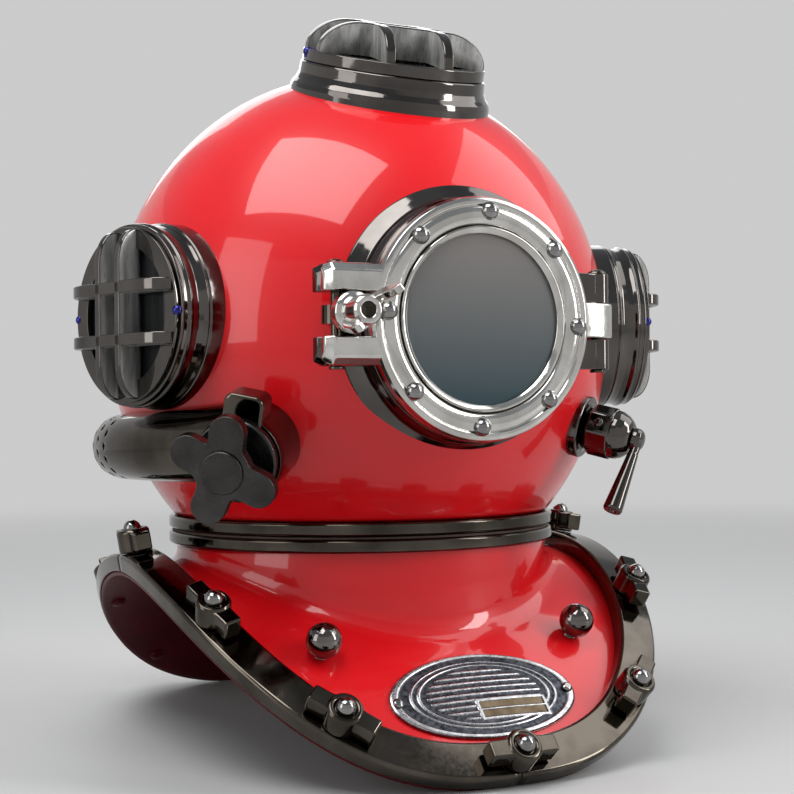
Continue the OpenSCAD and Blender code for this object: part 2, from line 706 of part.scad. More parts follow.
top_step = top_rim - 7;
top_guard_r = top_r - 6;
top_bar_across = 18;
top_bar_along = 14;
top_bar_curve = 27;
top_guard_turn = -8;
module top_frame() {
    face = top_step;
    color(ink) {
        difference() {
            top_seat() difference() {
                turned([[top_spigot - glass_ledge, face - 33],
                    [top_r, face - 33], [top_r, face - 16], [top_r - 1, face - 13],
                    [top_r - 3, face - 10.5], [top_r - 4.6, face - 7], [top_r - 5, face - 1],
                    [top_r - 5.8, face],
                    [top_spigot - 1, face], [top_spigot - 1, face - glass_seat],
                    [top_spigot - glass_ledge, face - glass_seat]]);
                rotate([0, 0, top_guard_turn]) guard_notches(top_guard_r, top_rim);
            }
            dome_plug(seat_gap);
        }
        top_seat() tube(top_spigot, top_spigot - glass_ledge, face - 23, face - 11);
    }
}
module top_glass() {
    color("#3c4a50") top_seat() translate([0, 0, top_step - glass_seat + seat_gap])
        cylinder(r = top_spigot - 1 - seat_gap, h = glass_t);
}
module top_guard() {
    under = guard_h - bar_d;
    color(ink) top_seat() rotate([0, 0, top_guard_turn]) difference() {
        union() {
            tube(top_guard_r, top_spigot - glass_ledge, top_step + seat_gap, top_rim);
            guard_bars(top_guard_r, top_bar_across, bar_t, top_rim, guard_h, top_bar_curve, under);
            rotate([0, 0, 90])
                guard_bars(top_guard_r, top_bar_along, bar_t, top_rim, guard_h, top_bar_curve, under);
        }
        guard_notches(top_guard_r, top_rim);
    }
}
module guard_screws() {
    color("#20206a") {
        for (side = [-1, 1]) side_seat(side) guard_balls(side_guard_r, side_rim);
        top_seat() rotate([0, 0, top_guard_turn]) guard_balls(top_guard_r, top_rim);
    }
}

/* Exhaust valve */

// The valve's axis runs forward and to the wearer's right from the lower dome.
valve_turn = 231.3;
valve_lean = 104.1;
valve_foot_turn = 222.9;
valve_bore = 16;
valve_body = 46;
module at_valve() {
    r = dome_plan(valve_z);
    translate([r * cos(valve_foot_turn), r * sin(valve_foot_turn), valve_z])
        rotate([0, valve_lean, valve_turn]) children();
}
// A lug on the body's upper side takes the wrench.
lug_turn_up = 168;
lug_reach = 36;
lug_w = 22;
lug_back = 24;
lug_long = 18;
module wrench_lug(grow) {
    corner = 5;
    translate([0, 0, valve_body - lug_back - grow]) linear_extrude(lug_long + 2 * grow)
        rotate([0, 0, lug_turn_up]) {
        translate([0, -lug_w / 2 - grow]) square([lug_reach - corner, lug_w + 2 * grow]);
        translate([0, corner - lug_w / 2]) square([lug_reach + grow, lug_w - 2 * corner]);
        for (side = [-1, 1]) translate([lug_reach - corner, side * (lug_w / 2 - corner)])
            circle(r = corner + grow);
    }
}
module exhaust_body() {
    color(ink) difference() {
        union() {
            difference() {
                at_valve() {
                    translate([0, 0, -34]) cylinder(r = valve_r, h = 34 + valve_body - 8);
                    wrench_lug(0);
                }
                dome_plug(seat_gap);
            }
            at_valve() translate([0, 0, -14]) cylinder(r = valve_bore + 2, h = 30);
        }
        at_valve() translate([0, 0, -50]) cylinder(r = valve_bore, h = 50 + valve_body - 12);
        at_valve() translate([0, 0, -50]) cylinder(r = cover_thread, h = 100);
        at_valve() translate([0, 0, valve_body - 8]) cylinder(r = valve_r - 1.5 + run_gap, h = 20);
    }
}
cover_thread = 9;
stem_r = 3.4;
// A flanged sleeve screwed into the body guides the stem and takes the handwheel's thread.
module exhaust_cover() {
    color(ink) at_valve() difference() {
        union() {
            translate([0, 0, valve_body - 8 + seat_gap]) cylinder(r = valve_r - 1.5, h = 6);
            translate([0, 0, valve_body - 11]) cylinder(r = cover_thread - seat_gap, h = 18);
        }
        translate([0, 0, valve_body - 20]) cylinder(r = stem_r + 0.3, h = 60);
    }
}
// The wheel has four round lobes, a little out of square.
lobe_w = 19;
lobe_turns = [-27, 62, 168, 239];
module wheel_lobe(turn) {
    reach = wheel_r - lobe_w / 2;
    rotate([0, 0, turn]) {
        translate([reach, 0]) circle(r = lobe_w / 2);
        translate([0, -lobe_w / 2]) square([reach, lobe_w]);
    }
}
module exhaust_handwheel() {
    low = valve_body + 7.5;
    color("#2c2c2c") at_valve() difference() {
        union() {
            translate([0, 0, valve_len - 10]) linear_extrude(8) {
                for (turn = lobe_turns) wheel_lobe(turn);
                circle(r = 15.5);
            }
            translate([0, 0, valve_len - 3]) cylinder(r = 11.8, h = 3);
            translate([0, 0, low]) cylinder(r = 13, h = valve_len - 9 - low);
        }
        translate([0, 0, low - 1]) cylinder(r = stem_r + 0.6, h = valve_len - low - 3);
    }
}
// The valve disc closes on the body's seat; its stem carries the chin button inside the helmet.
module chin_valve() {
    color("#a8884a") at_valve() {
        translate([0, 0, -34]) cylinder(r = 11, h = 3);
        translate([0, 0, -32]) cylinder(r = stem_r - 0.4, h = 32);
        translate([0, 0, -2]) cylinder(r = valve_bore - 1, h = 3);
        cylinder(r = stem_r - 0.4, h = valve_body + 0.5);
    }
}

// The horn leads the spent air round the side of the dome to its pierced end.
horn_in = 153;
horn_start = 221;
horn_end = 174;
horn_wall = 2;
horn_sides = 24;
horn_steps = 12;
horn_cap_steps = 5;
horn_swell = 3.5;
// It swells upwards to the valve. Each ring is [turn about the neck, radius, distance past the end, lift].
function horn_rings(r) = concat([for (i = [0 : horn_steps])
        let (t = 1 - i / horn_steps, up = horn_swell * pow(t, 3))
        [mix(horn_end, horn_start, t), r + up, 0, up]],
    [for (i = [1 : horn_cap_steps]) let (a = 88 * i / horn_cap_steps) [horn_end, r * cos(a), r * sin(a), 0]]);
function horn_pt(ring, a) = let (d = horn_in + ring[1] * cos(a), t = ring[0], p = ring[2])
    [d * cos(t) + p * sin(t), d * sin(t) - p * cos(t), horn_z + ring[3] + ring[1] * sin(a)];
module horn_form(r) {
    rings = horn_rings(r);
    n = horn_sides;
    last = (len(rings) - 1) * n;
    points = [for (ring = rings, k = [0 : n - 1]) horn_pt(ring, 360 * k / n)];
    sides = [for (i = [0 : len(rings) - 2], k = [0 : n - 1])
        let (m = (k + 1) % n, a = i * n + k, b = a + n, c = (i + 1) * n + m, d = i * n + m)
            each [[a, b, c], [a, c, d]]];
    polyhedron(points, concat(sides, [[for (k = [0 : n - 1]) k]], [[for (k = [0 : n - 1]) last + n - 1 - k]]),
        convexity = 4);
}
hole_r = 1.8;
module horn_holes() {
    for (ring = [0 : 2], k = [0 : 6]) rotate([0, 0, horn_end + 5 - 4.5 * ring])
        translate([horn_in, 0, horn_z]) rotate([0, 15 + 24 * k + 12 * (ring % 2) - 90, 0]) rotate([0, 90, 0])
            cylinder(r = hole_r, h = horn_r + 5, $fn = 12);
}
module exhaust_horn() {
    color(ink) difference() {
        horn_form(horn_r);
        horn_form(horn_r - horn_wall);
        dome_plug(seat_gap);
        at_valve() translate([0, 0, -34]) cylinder(r = valve_r + seat_gap, h = 120);
        at_valve() wrench_lug(seat_gap);
        horn_holes();
    }
}

/* Spit cock */

cock_z = 192;
cock_turn = -50.5;
cock_lean = 104;
cock_spigot = 9;
cock_body_r = 16;
plug_r = 5;
cock_swing = -27;
cock_len = 33;
cock_flat = 22;
lever_neck = 9;
module at_cock() {
    r = dome_plan(cock_z);
    translate([r * cos(cock_turn), r * sin(cock_turn), cock_z]) rotate([0, cock_lean, cock_turn]) children();
}
module spit_cock_body() {
    color(ink) {
        difference() {
            union() {
                difference() {
                    at_cock() {
                        translate([0, 0, -16]) cylinder(r = cock_flange, h = 20);
                        translate([0, 0, 3]) cylinder(r1 = cock_flange - 4, r2 = 9, h = 5);
                    }
                    dome_plug(seat_gap);
                }
                at_cock() translate([0, 0, -10]) cylinder(r = cock_spigot, h = 18);
                at_cock() translate([0, 0, 7]) cylinder(r = cock_body_r, h = cock_flat - 7, $fn = 8);
                at_cock() turned([[0, cock_flat - 1], [cock_body_r - 1, cock_flat - 1],
                    [cock_body_r - 1.4, cock_flat + 3], [cock_body_r - 3, cock_flat + 6.5],
                    [cock_body_r - 5.5, cock_len - 1.5], [cock_body_r - 7.5, cock_len], [0, cock_len]]);
            }
            at_cock() translate([0, 0, 10]) cylinder(r = plug_r, h = 30);
            at_cock() translate([0, 0, -20]) cylinder(r = 3, h = 40);
        }
    }
}
module spit_cock_lever() {
    hub = cock_len + run_gap;
    color(ink) at_cock() {
        translate([0, 0, 12]) cylinder(r = plug_r - pin_gap, h = hub - 8);
        translate([0, 0, hub]) turned([[0, 0], [6.4, 0], [7, 0.8], [7, 3.2], [6, 5.4], [4, 6.7], [0, 7.2]]);
        translate([0, 0, hub + 3.4]) rotate([0, 0, cock_swing]) rotate([0, 90, 0]) {
            cylinder(r = 3, h = lever_neck + 1);
            translate([0, 0, lever_neck]) cylinder(r1 = 3.3, r2 = 5.9, h = lever_len - lever_neck);
        }
    }
}

/* Transceiver cup and hose elbows */

cup_r = 34;
cup_turn = 4;
cup_lean = 50;
function dome_reach(lean) = 1 / sqrt(pow(sin(lean) / dome_r, 2) + pow(cos(lean) / dome_rise, 2));
module at_cup() {
    facing(dome_z, cup_turn, cup_lean) translate([0, 0, dome_reach(cup_lean)]) children();
}
module transceiver_cup() {
    color(ink) difference() {
        at_cup() union() {
            turned([[cup_r - 8, -20], [cup_r, -20], [cup_r, 7], [cup_r - 1.5, 9], [cup_r - 8, 9]]);
        }
        dome_plug(seat_gap);
    }
}
module transceiver_lid() {
    color(nickel) at_cup() translate([0, 0, 9 + seat_gap])
        turned([[0, 0], [cup_r - 3, 0], [cup_r - 3, 2], [cup_r - 5, 4], [cup_r - 12, 6], [0, 7]]);
}
elbow_turn = 30;
elbow_z = 222;
elbow_spigot = 12;
elbow_r = 11;
elbow_bore = 7.5;
elbow_bend = 20;
elbow_neck = 9;
elbow_sweep = 62;
thread_r = 13;
thread_len = 16;
module at_elbow(side) {
    r = dome_plan(elbow_z);
    a = 90 - side * elbow_turn;
    translate([r * cos(a), r * sin(a), elbow_z]) rotate([0, 90, a]) children();
}
module elbow_bend_tube(side, r) {
    at_elbow(side) translate([elbow_bend, 0, elbow_neck - 1]) rotate([-90, 0, 0]) rotate([0, 0, 180])
        rotate_extrude(angle = elbow_sweep) translate([elbow_bend, 0]) circle(r = r);
}
module elbow(side) {
    color(ink) difference() {
        union() {
            difference() {
                at_elbow(side) translate([0, 0, -12]) cylinder(r = 19, h = 16);
                dome_plug(seat_gap);
            }
            at_elbow(side) translate([0, 0, -12]) cylinder(r = elbow_spigot, h = 12 + elbow_neck);
            elbow_bend_tube(side, elbow_r);
            elbow_mouth(side) {
                translate([0, 0, -1.5]) cylinder(r = elbow_spigot, h = 6);
                translate([0, 0, 4]) cylinder(r = 16.5, h = 8, $fn = 6);
                translate([0, 0, 11.5]) cylinder(r = thread_r, h = thread_len + 0.5);
            }
        }
        at_elbow(side) translate([0, 0, -30]) cylinder(r = elbow_bore + 0.4, h = 30 + elbow_neck);
        elbow_bend_tube(side, elbow_bore);
        elbow_mouth(side) translate([0, 0, -1]) cylinder(r = elbow_bore + 0.4, h = 60);
    }
}
module elbow_mouth(side) {
    at_elbow(side) translate([elbow_bend, 0, elbow_neck - 1]) rotate([0, elbow_sweep, 0])
        translate([-elbow_bend, 0, 0]) children();
}
module air_elbow() { elbow(1); }
module phone_elbow() { elbow(-1); }

/* Neck latch at the back */

latch_stand = 4;
latch_post_y = ring_r + latch_stand;
latch_post_z = 116;
latch_w = 16;
latch_pin_r = 3;
module at_neck_latch() { translate([0, latch_post_y, latch_post_z]) rotate([0, 90, 0]) children(); }
module latch_bracket() {
    color(ink) difference() {
        union() {
            translate([-latch_w / 2 - 4, ring_r - 6, latch_post_z - 9])
                cube([latch_w + 8, latch_post_y - ring_r + 6, ring_low - latch_post_z + 9 - seat_gap]);
            at_neck_latch() cylinder(r = 6, h = latch_w + 8, center = true);
        }
        translate([-latch_w / 2 - run_gap, latch_post_y - 7.5, latch_post_z - 12])
            cube([latch_w + 2 * run_gap, 20, 24]);
        at_neck_latch() cylinder(r = latch_pin_r - 0.6, h = 60, center = true);
        cylinder(r = collar_r + seat_gap, h = 200);
    }
}
module neck_latch() {
    color(ink) at_neck_latch() {
        cylinder(r = latch_pin_r - 0.6 - pin_gap, h = latch_w + 7, center = true);
        cylinder(r = 6, h = latch_w, center = true);
        translate([0, 0, -latch_w / 2]) cube([24, 5, latch_w]);
    }
}

breastplate_shell();
breastplate_ring();
neck_washer();
brail_front_right();
brail_front_left();
brail_rear_left();
brail_rear_right();
brail_studs();
brail_nuts();
lanyard_studs();
data_plate();
plate_screws();
bonnet_shell();
bonnet_ring();
front_frame();
frame_gasket();
hinge_pin();
latch_pin();
door_ring();
door_gasket();
door_glass();
door_bezel();
door_screw_set();
swing_bolt();
wing_nut();
side_frame_left();
side_frame_right();
side_glass_left();
side_glass_right();
side_guard_left();
side_guard_right();
top_frame();
top_glass();
top_guard();
guard_screws();
exhaust_body();
exhaust_horn();
exhaust_cover();
exhaust_handwheel();
chin_valve();
spit_cock_body();
spit_cock_lever();
transceiver_cup();
transceiver_lid();
air_elbow();
phone_elbow();
latch_bracket();
neck_latch();
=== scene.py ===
import bmesh
import bpy
import numpy as np
from mathutils import Matrix, Vector


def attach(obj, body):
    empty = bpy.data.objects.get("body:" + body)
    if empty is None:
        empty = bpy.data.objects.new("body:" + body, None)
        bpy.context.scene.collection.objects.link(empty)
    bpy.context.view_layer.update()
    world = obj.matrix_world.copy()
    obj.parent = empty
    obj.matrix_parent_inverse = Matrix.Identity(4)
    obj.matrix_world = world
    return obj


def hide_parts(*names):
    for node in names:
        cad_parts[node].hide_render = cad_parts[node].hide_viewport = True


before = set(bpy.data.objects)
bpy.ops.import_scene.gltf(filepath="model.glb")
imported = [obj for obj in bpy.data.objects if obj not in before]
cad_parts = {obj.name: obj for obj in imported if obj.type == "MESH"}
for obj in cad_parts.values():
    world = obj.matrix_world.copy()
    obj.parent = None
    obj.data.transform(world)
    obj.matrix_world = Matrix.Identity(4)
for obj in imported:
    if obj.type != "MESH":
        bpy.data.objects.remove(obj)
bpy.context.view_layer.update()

scene = bpy.context.scene
scene.view_settings.view_transform = "Standard"

# Camera
# It stands level with the lower dome, to the wearer's right of straight ahead, and leans a little.
view_turn = np.radians(26.0)
view_roll = np.radians(-0.6)
view_point = Vector((-0.4037, -0.8830, 0.1957))
camera = bpy.data.objects.new("camera", bpy.data.cameras.new("camera"))
camera.data.sensor_width = 36.0
camera.data.lens = 67.29
camera.data.shift_y = 0.0314
camera.matrix_world = (Matrix.Translation(view_point) @ Matrix.Rotation(-view_turn, 4, "Z")
    @ Matrix.Rotation(np.pi / 2, 4, "X") @ Matrix.Rotation(view_roll, 4, "Z"))
scene.collection.objects.link(camera)
scene.camera = camera

# Lamps
# Five soft boxes round the helmet: a wide one overhead and in front of it, a tall one at the camera's
# left, a narrow one at its right, a dim one above that and a weak one behind.


def soft_box(name, place, size, watts):
    """A rectangular lamp at a place in metres, turned to the middle of the dome."""
    lamp = bpy.data.objects.new(name, bpy.data.lights.new(name, "AREA"))
    lamp.data.shape = "RECTANGLE"
    lamp.data.size, lamp.data.size_y = size
    lamp.data.energy = watts
    aim = Vector((0.0, 0.0, 0.24))
    facing = (Vector(place) - aim).to_track_quat("Z", "Y").to_matrix().to_4x4()
    lamp.matrix_world = Matrix.Translation(Vector(place)) @ facing
    scene.collection.objects.link(lamp)


soft_box("lamp_above", (-0.70, -0.40, 1.80), (1.35, 1.1), 28.0)
soft_box("lamp_left", (-1.75, -0.35, 0.75), (0.75, 1.2), 7.5)
soft_box("lamp_right", (1.25, -1.15, 0.85), (0.30, 1.2), 14.0)
soft_box("lamp_high_right", (1.32, -0.36, 1.45), (1.3, 1.15), 10.5)
soft_box("lamp_behind", (0.6, 1.7, 1.3), (1.5, 0.9), 8.0)

# Sky
# A dim and even sky overhead, so that polished metal keeps its dark side between the lamps.
sky = bpy.data.worlds.new("sky")
sky.use_nodes = True
scene.world = sky
sky.node_tree.nodes["Background"].inputs["Color"].default_value = (0.88, 0.93, 1.0, 1.0)
sky.node_tree.nodes["Background"].inputs["Strength"].default_value = 0.35

# Floor
# A pale bowl whose wall rises out of sight all round and glows softly with distance, for every ray that
# the eye, a gloss or a glass sends out.


def wired(tree, node, inputs, **settings):
    """Links a shader node's inputs to sockets or sets them to values. A kind stands for a new node of that
    kind, and a node among the inputs stands for its first output."""
    if isinstance(node, str):
        node = tree.nodes.new("ShaderNode" + node)
    for name, value in settings.items():
        setattr(node, name, value)
    for name, value in inputs.items():
        if isinstance(value, bpy.types.Node):
            value = value.outputs[0]
        if isinstance(value, bpy.types.NodeSocket):
            tree.links.new(value, node.inputs[name])
        else:
            node.inputs[name].default_value = value
    return node


def new_material(name):
    """A material, its node tree and its shader."""
    material = bpy.data.materials.new(name)
    material.use_nodes = True
    return material, material.node_tree, material.node_tree.nodes["Principled BSDF"]


def seen_rays(tree):
    """The share of a ray that the eye, a gloss or a glass sends out: its three kinds added."""
    path = wired(tree, "LightPath", {}).outputs
    first = wired(tree, "Math", {0: path["Is Camera Ray"], 1: path["Is Glossy Ray"]}, operation="ADD")
    return wired(tree, "Math", {0: first, 1: path["Is Transmission Ray"]}, operation="ADD", use_clamp=True)


def along(points, place):
    """Turns a shape's own points into the helmet's: the start point plus each number times its direction."""
    start, directions = place
    return start + points @ directions


upright = (np.zeros(3), np.eye(3))


def surface(grid):
    """Four-sided cells between neighbouring rows and columns of a grid of points."""
    rows, columns = grid.shape[:2]
    number = np.arange(rows * columns).reshape(rows, columns)
    cells = np.stack([number[:-1, :-1], number[:-1, 1:], number[1:, 1:], number[1:, :-1]], -1)
    return grid.reshape(-1, 3), cells.reshape(-1, 4).tolist()


def turned(outline, place=upright, steps=144):
    """A lathe form: every (radius, height) of the outline is carried round the place's Z direction."""
    turn = np.radians(np.linspace(0, 360, steps + 1))[:, None]
    radius, height = np.asarray(outline, float).T
    grid = np.stack([radius * np.cos(turn), radius * np.sin(turn), height + 0 * turn], -1)
    return surface(along(grid, place))


def made(name, body, shapes, finishes, stands_for=(), marks=None, closed=True,
        edge=0.0, wall=0.0):
    """Joins shapes, each (points in millimetres, faces), into one piece. The marks say which finish each one
    has. Doubled points are merged, edge rounds sharp edges and wall thickens a sheet, both in millimetres."""
    starts = np.concatenate([[0], np.cumsum([len(points) for points, _ in shapes])])
    points = np.vstack([points for points, _ in shapes]) * 0.001
    faces = [[int(start) + k for k in face] for start, (_, cells) in zip(starts, shapes) for face in cells]
    mesh = bpy.data.meshes.new(name)
    mesh.from_pydata(points.tolist(), [], faces)
    marks = np.repeat(marks or [0] * len(shapes), [len(cells) for _, cells in shapes])
    mesh.polygons.foreach_set("material_index", marks.astype(np.int32))
    work = bmesh.new()
    work.from_mesh(mesh)
    bmesh.ops.remove_doubles(work, verts=work.verts, dist=2e-6)
    if closed:
        bmesh.ops.recalc_face_normals(work, faces=work.faces)
    work.to_mesh(mesh)
    work.free()
    mesh.shade_smooth()
    for material in finishes:
        mesh.materials.append(material)
    piece = bpy.data.objects.new(name, mesh)
    scene.collection.objects.link(piece)
    if wall:
        solid = piece.modifiers.new("wall", "SOLIDIFY")
        solid.thickness = wall * 0.001
        solid.offset = -1.0
        solid.material_offset = 1
    if edge:
        bevel = piece.modifiers.new("edge", "BEVEL")
        bevel.width = edge * 0.001
        bevel.segments = 3
        bevel.limit_method = "ANGLE"
        bevel.angle_limit = np.radians(32)
        bevel.harden_normals = True
    even = piece.modifiers.new("even", "WEIGHTED_NORMAL")
    even.keep_sharp = True
    if body:
        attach(piece, body)
        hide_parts(*stands_for)
    return piece


floor_clay, tree, clay = new_material("floor_clay")
wired(tree, clay, {"Base Color": (0.48, 0.48, 0.476, 1.0), "Roughness": 0.55})
glow = wired(tree, "Emission", {"Strength": 0.60})
where = wired(tree, "TexCoord", {})
away = wired(tree, "VectorMath", {0: where.outputs["Object"]}, operation="LENGTH")
fade = wired(tree, "MapRange", {"Value": away.outputs["Value"], "From Min": 0.7, "From Max": 2.6})
share = wired(tree, "Math", {0: fade, 1: seen_rays(tree)}, operation="MULTIPLY")
choice = wired(tree, "MixShader", {0: share, 1: clay, 2: glow})
wired(tree, tree.nodes["Material Output"], {"Surface": choice})
floor_r, wall_bend, wall_h = 2400, 1300, 2200
turn = np.radians(np.linspace(0, 90, 24))
bowl = np.stack([floor_r + wall_bend * np.sin(turn), wall_bend * (1 - np.cos(turn))], 1)
bowl = np.vstack([[0, 0], bowl, [floor_r + wall_bend, wall_h]])
floor = made("floor", None, [turned(bowl, steps=96)], [floor_clay], closed=False)

# Breastplate
# One spun and beaten copper sheet: a collar, a swept neck and a saddle that falls to the breast and back.
# It is sprayed red and lacquered outside and is a much darker red inside; the same dark red on the rim's edge
# is painted shade under the straps.


def ramp(tree, source, tones, stops=(0.0, 1.0)):
    """A colour that goes from one tone to the other between two values of its source."""
    colour = wired(tree, "ValToRGB", {0: source})
    for element, at, tone in zip(colour.color_ramp.elements, stops, tones):
        element.position = at
        element.color = (*tone, 1.0)
    return colour


def finish(name, tones, patch, rough, grain=500.0, relief=0.0, stretch=(1.0, 1.0, 1.0), metal=1.0):
    """A worked surface. Its colour drifts between two tones in patches so many to the metre, its roughness
    and its relief in millimetres follow a finer grain, and stretch draws both out along a direction."""
    material, tree, shader = new_material(name)
    place = wired(tree, "TexCoord", {})
    drawn = wired(tree, "Mapping", {"Vector": place.outputs["Object"], "Scale": stretch})
    clouds = wired(tree, "TexNoise", {"Vector": drawn, "Scale": patch, "Detail": 4.0})
    colour = ramp(tree, clouds, tones, (0.35, 0.65))
    fine = wired(tree, "TexNoise", {"Vector": drawn, "Scale": grain, "Detail": 3.0})
    spread = wired(tree, "MapRange", {"Value": fine, "From Min": 0.3, "From Max": 0.7, "To Min": rough[0],
        "To Max": rough[1]})
    bump = wired(tree, "Bump", {"Height": fine, "Strength": 0.4, "Distance": relief * 0.001})
    wired(tree, shader, {"Metallic": metal, "Base Color": colour, "Roughness": spread, "Normal": bump})
    return material


red_paint = finish("red_paint", [(0.66, 0.003, 0.007), (0.75, 0.006, 0.011)], 9, (0.3, 0.38), 260, 0.004,
    metal=0)
wired(red_paint.node_tree, red_paint.node_tree.nodes["Principled BSDF"],
    {"Specular IOR Level": 0.2, "Coat Weight": 0.75, "Coat Roughness": 0.045, "Coat IOR": 1.48})
# A dark red for the inside, also put on the rim's edge as painted shade under the straps.
inner_paint_and_rim_shade = finish("inner_paint_and_rim_shade", [(0.06, 0.001, 0.003), (0.09, 0.002, 0.005)], 25, (0.3, 0.4), 400, 0.01,
    metal=0)
inner_paint_and_rim_shade.node_tree.nodes["Principled BSDF"].inputs["Specular IOR Level"].default_value = 0.12

sheet = 2.5
neck_ring_r = 124.0
joint_z = 129.2
ring_h = 7.8
half_washer = 0.8
seat_gap = 0.2
run_gap = 0.4
collar_r = 119.0
collar_top = joint_z - half_washer - ring_h - seat_gap
stud_line = (149.0, 188.0)
stud_square = 2.45
saddle_z = 120.5
side_drop = 12.5
front_drop = 112.0
saddle_bend = 1.93
strap_w = 23.0
strap_t = 10.5
strap_lift = 0.35
collar_sweep = 10.0
rim_inset = 1.3


def saddle(x, y):
    """Height of the sheet: it falls with the square of x and with a slightly lower power of y."""
    front = front_drop * (np.abs(y) / stud_line[1]) ** saddle_bend
    return saddle_z - side_drop * (x / stud_line[0]) ** 2 - front


def unit(v):
    """Directions brought to length one."""
    return v / np.linalg.norm(v, axis=-1, keepdims=True)


def saddle_up(x, y):
    """Direction straight out of the sheet: minus the slopes of its height, and one."""
    slope_x = 2 * side_drop * x / stud_line[0] ** 2
    slope_y = (np.sign(y) * front_drop * saddle_bend / stud_line[1]
        * (np.abs(y) / stud_line[1]) ** (saddle_bend - 1))
    return unit(np.stack([slope_x, slope_y, 1 + 0 * x * y], -1))


def on_sheet(x, y):
    """The point of the sheet above a point of the table."""
    return np.stack([x, y, saddle(x, y)], -1)


def stud_curve(turn):
    """The line of the studs seen from above: an ellipse with the power of its squareness, turn in degrees."""
    c, s = np.cos(np.radians(turn)), np.sin(np.radians(turn))
    power = (np.abs(c) / stud_line[0]) ** stud_square + (np.abs(s) / stud_line[1]) ** stud_square
    r = power ** (-1 / stud_square)
    return on_sheet(r * c, r * s)


def stud_run(turn):
    """The direction of the studs' line at a turn."""
    return unit(stud_curve(turn + 0.5) - stud_curve(turn - 0.5))


def beside_studs(turn, out, up):
    """A point so far outside the stud line along the sheet, and so far above the strap's seat."""
    foot = stud_curve(turn)
    normal = saddle_up(foot[..., 0], foot[..., 1])
    side = np.cross(stud_run(turn), normal)
    return foot + np.asarray(out)[..., None] * side + (strap_lift + np.asarray(up)[..., None]) * normal


def sheet_rows(turn):
    """Rows of the sheet from the collar's top edge to its rim: a straight collar, a sweep through the corner
    (1-t)^2 start + 2t(1-t) corner + t^2 end, and even steps along the saddle."""
    c, s = np.cos(np.radians(turn)), np.sin(np.radians(turn))
    foot = on_sheet(collar_r * c, collar_r * s)
    bend = np.minimum(collar_sweep, 0.8 * (collar_top - foot[:, 2]))[:, None]
    start = foot + bend * [0, 0, 1]
    end = on_sheet((collar_r + bend[:, 0]) * c, (collar_r + bend[:, 0]) * s)
    top = np.stack([collar_r * c, collar_r * s, collar_top + 0 * c], -1)
    t = np.linspace(0, 1, 13)[:, None, None]
    sweep = start * (1 - t) ** 2 + foot * 2 * t * (1 - t) + end * t ** 2
    rim = beside_studs(turn, 0 * turn + strap_w / 2 - rim_inset, 0 * turn)
    k = np.linspace(0, 1, 25)[1:, None, None]
    apron = end * (1 - k) + rim * k
    apron = on_sheet(apron[..., 0], apron[..., 1])
    return np.concatenate([top[None], sweep, apron])


round_turn = np.linspace(0, 360, 361)
outside = sheet_rows(round_turn)
tangent_in = np.gradient(outside, axis=0)
tangent_round = np.roll(outside[:, :-1], -1, 1) - np.roll(outside[:, :-1], 1, 1)
tangent_round = np.concatenate([tangent_round, tangent_round[:, :1]], 1)
out_of_sheet = unit(np.cross(tangent_in, tangent_round))
out_of_sheet[0] = out_of_sheet[1]
inside = outside - sheet * out_of_sheet
hem = np.stack([outside[-1], (outside[-1] + inside[-1]) / 2 + 0.3 * unit(tangent_in[-1]), inside[-1]])
lip = np.stack([inside[0], outside[0]])
for part in (outside, inside, hem, lip):
    part[..., 2] = np.maximum(part[..., 2], 0.0)
# The hem, the rim's edge just under the straps, takes the dark inner red as painted shade.
made("breastplate_sheet", "breastplate", [surface(outside), surface(inside), surface(hem), surface(lip)],
    [red_paint, inner_paint_and_rim_shade], ["breastplate_shell"], marks=[0, 1, 1, 1])

# Straps
# Four cast brass straps follow the rim, two bolted quarters to each side, blackened and polished on top.
black_nickel = finish("black_nickel", [(0.05, 0.043, 0.035), (0.11, 0.095, 0.078)], 30, (0.06, 0.13), 420,
    0.01)


def softened(outline, cut, closed=False):
    """Each corner of an outline becomes a short curve that starts and ends the cut away from it:
    (1-s)^2 times the first point, 2s(1-s) times the corner and s^2 times the last."""
    corner = np.asarray(outline, float)
    before = np.roll(corner, 1, 0) - corner
    after = np.roll(corner, -1, 0) - corner
    reach = [np.minimum(cut / np.maximum(np.linalg.norm(side, axis=1), 1e-9), 0.45)[:, None]
        for side in (before, after)]
    first, last = corner + before * reach[0], corner + after * reach[1]
    if not closed:
        first[0] = last[0] = corner[0]
        first[-1] = last[-1] = corner[-1]
    s = np.linspace(0, 1, 5)[None, :, None]
    curve = first[:, None] * (1 - s) ** 2 + corner[:, None] * 2 * s * (1 - s) + last[:, None] * s ** 2
    curve = curve.reshape(-1, corner.shape[1])
    return np.vstack([curve, curve[:1]]) if closed else curve


half_w, strap_cut = strap_w / 2, 1.5
strap_section = softened([[-half_w, 0], [half_w, 0], [half_w, strap_t - strap_cut],
    [half_w - strap_cut, strap_t], [strap_cut - half_w, strap_t], [-half_w, strap_t - strap_cut]], 0.9,
    closed=True)
half_joint = 0.15


def strap(first, last):
    """The strap's section carried along the stud line, with both ends closed."""
    turn = np.linspace(first + half_joint, last - half_joint, 73)[:, None]
    tube = beside_studs(turn, strap_section[:, 0] + 0 * turn, strap_section[:, 1] + 0 * turn)
    ends = tube[[0, -1]].mean(1, keepdims=True) + 0 * tube[[0, -1]]
    tube = np.concatenate([ends[:1], tube, ends[1:]])
    tube[..., 2] = np.maximum(tube[..., 2], 0.0)
    return surface(tube)


for name, first in (("rear_left", 0), ("rear_right", 90), ("front_right", 180), ("front_left", 270)):
    made("strap_" + name, "breastplate", [strap(first, first + 90)], [black_nickel], ["brail_" + name])

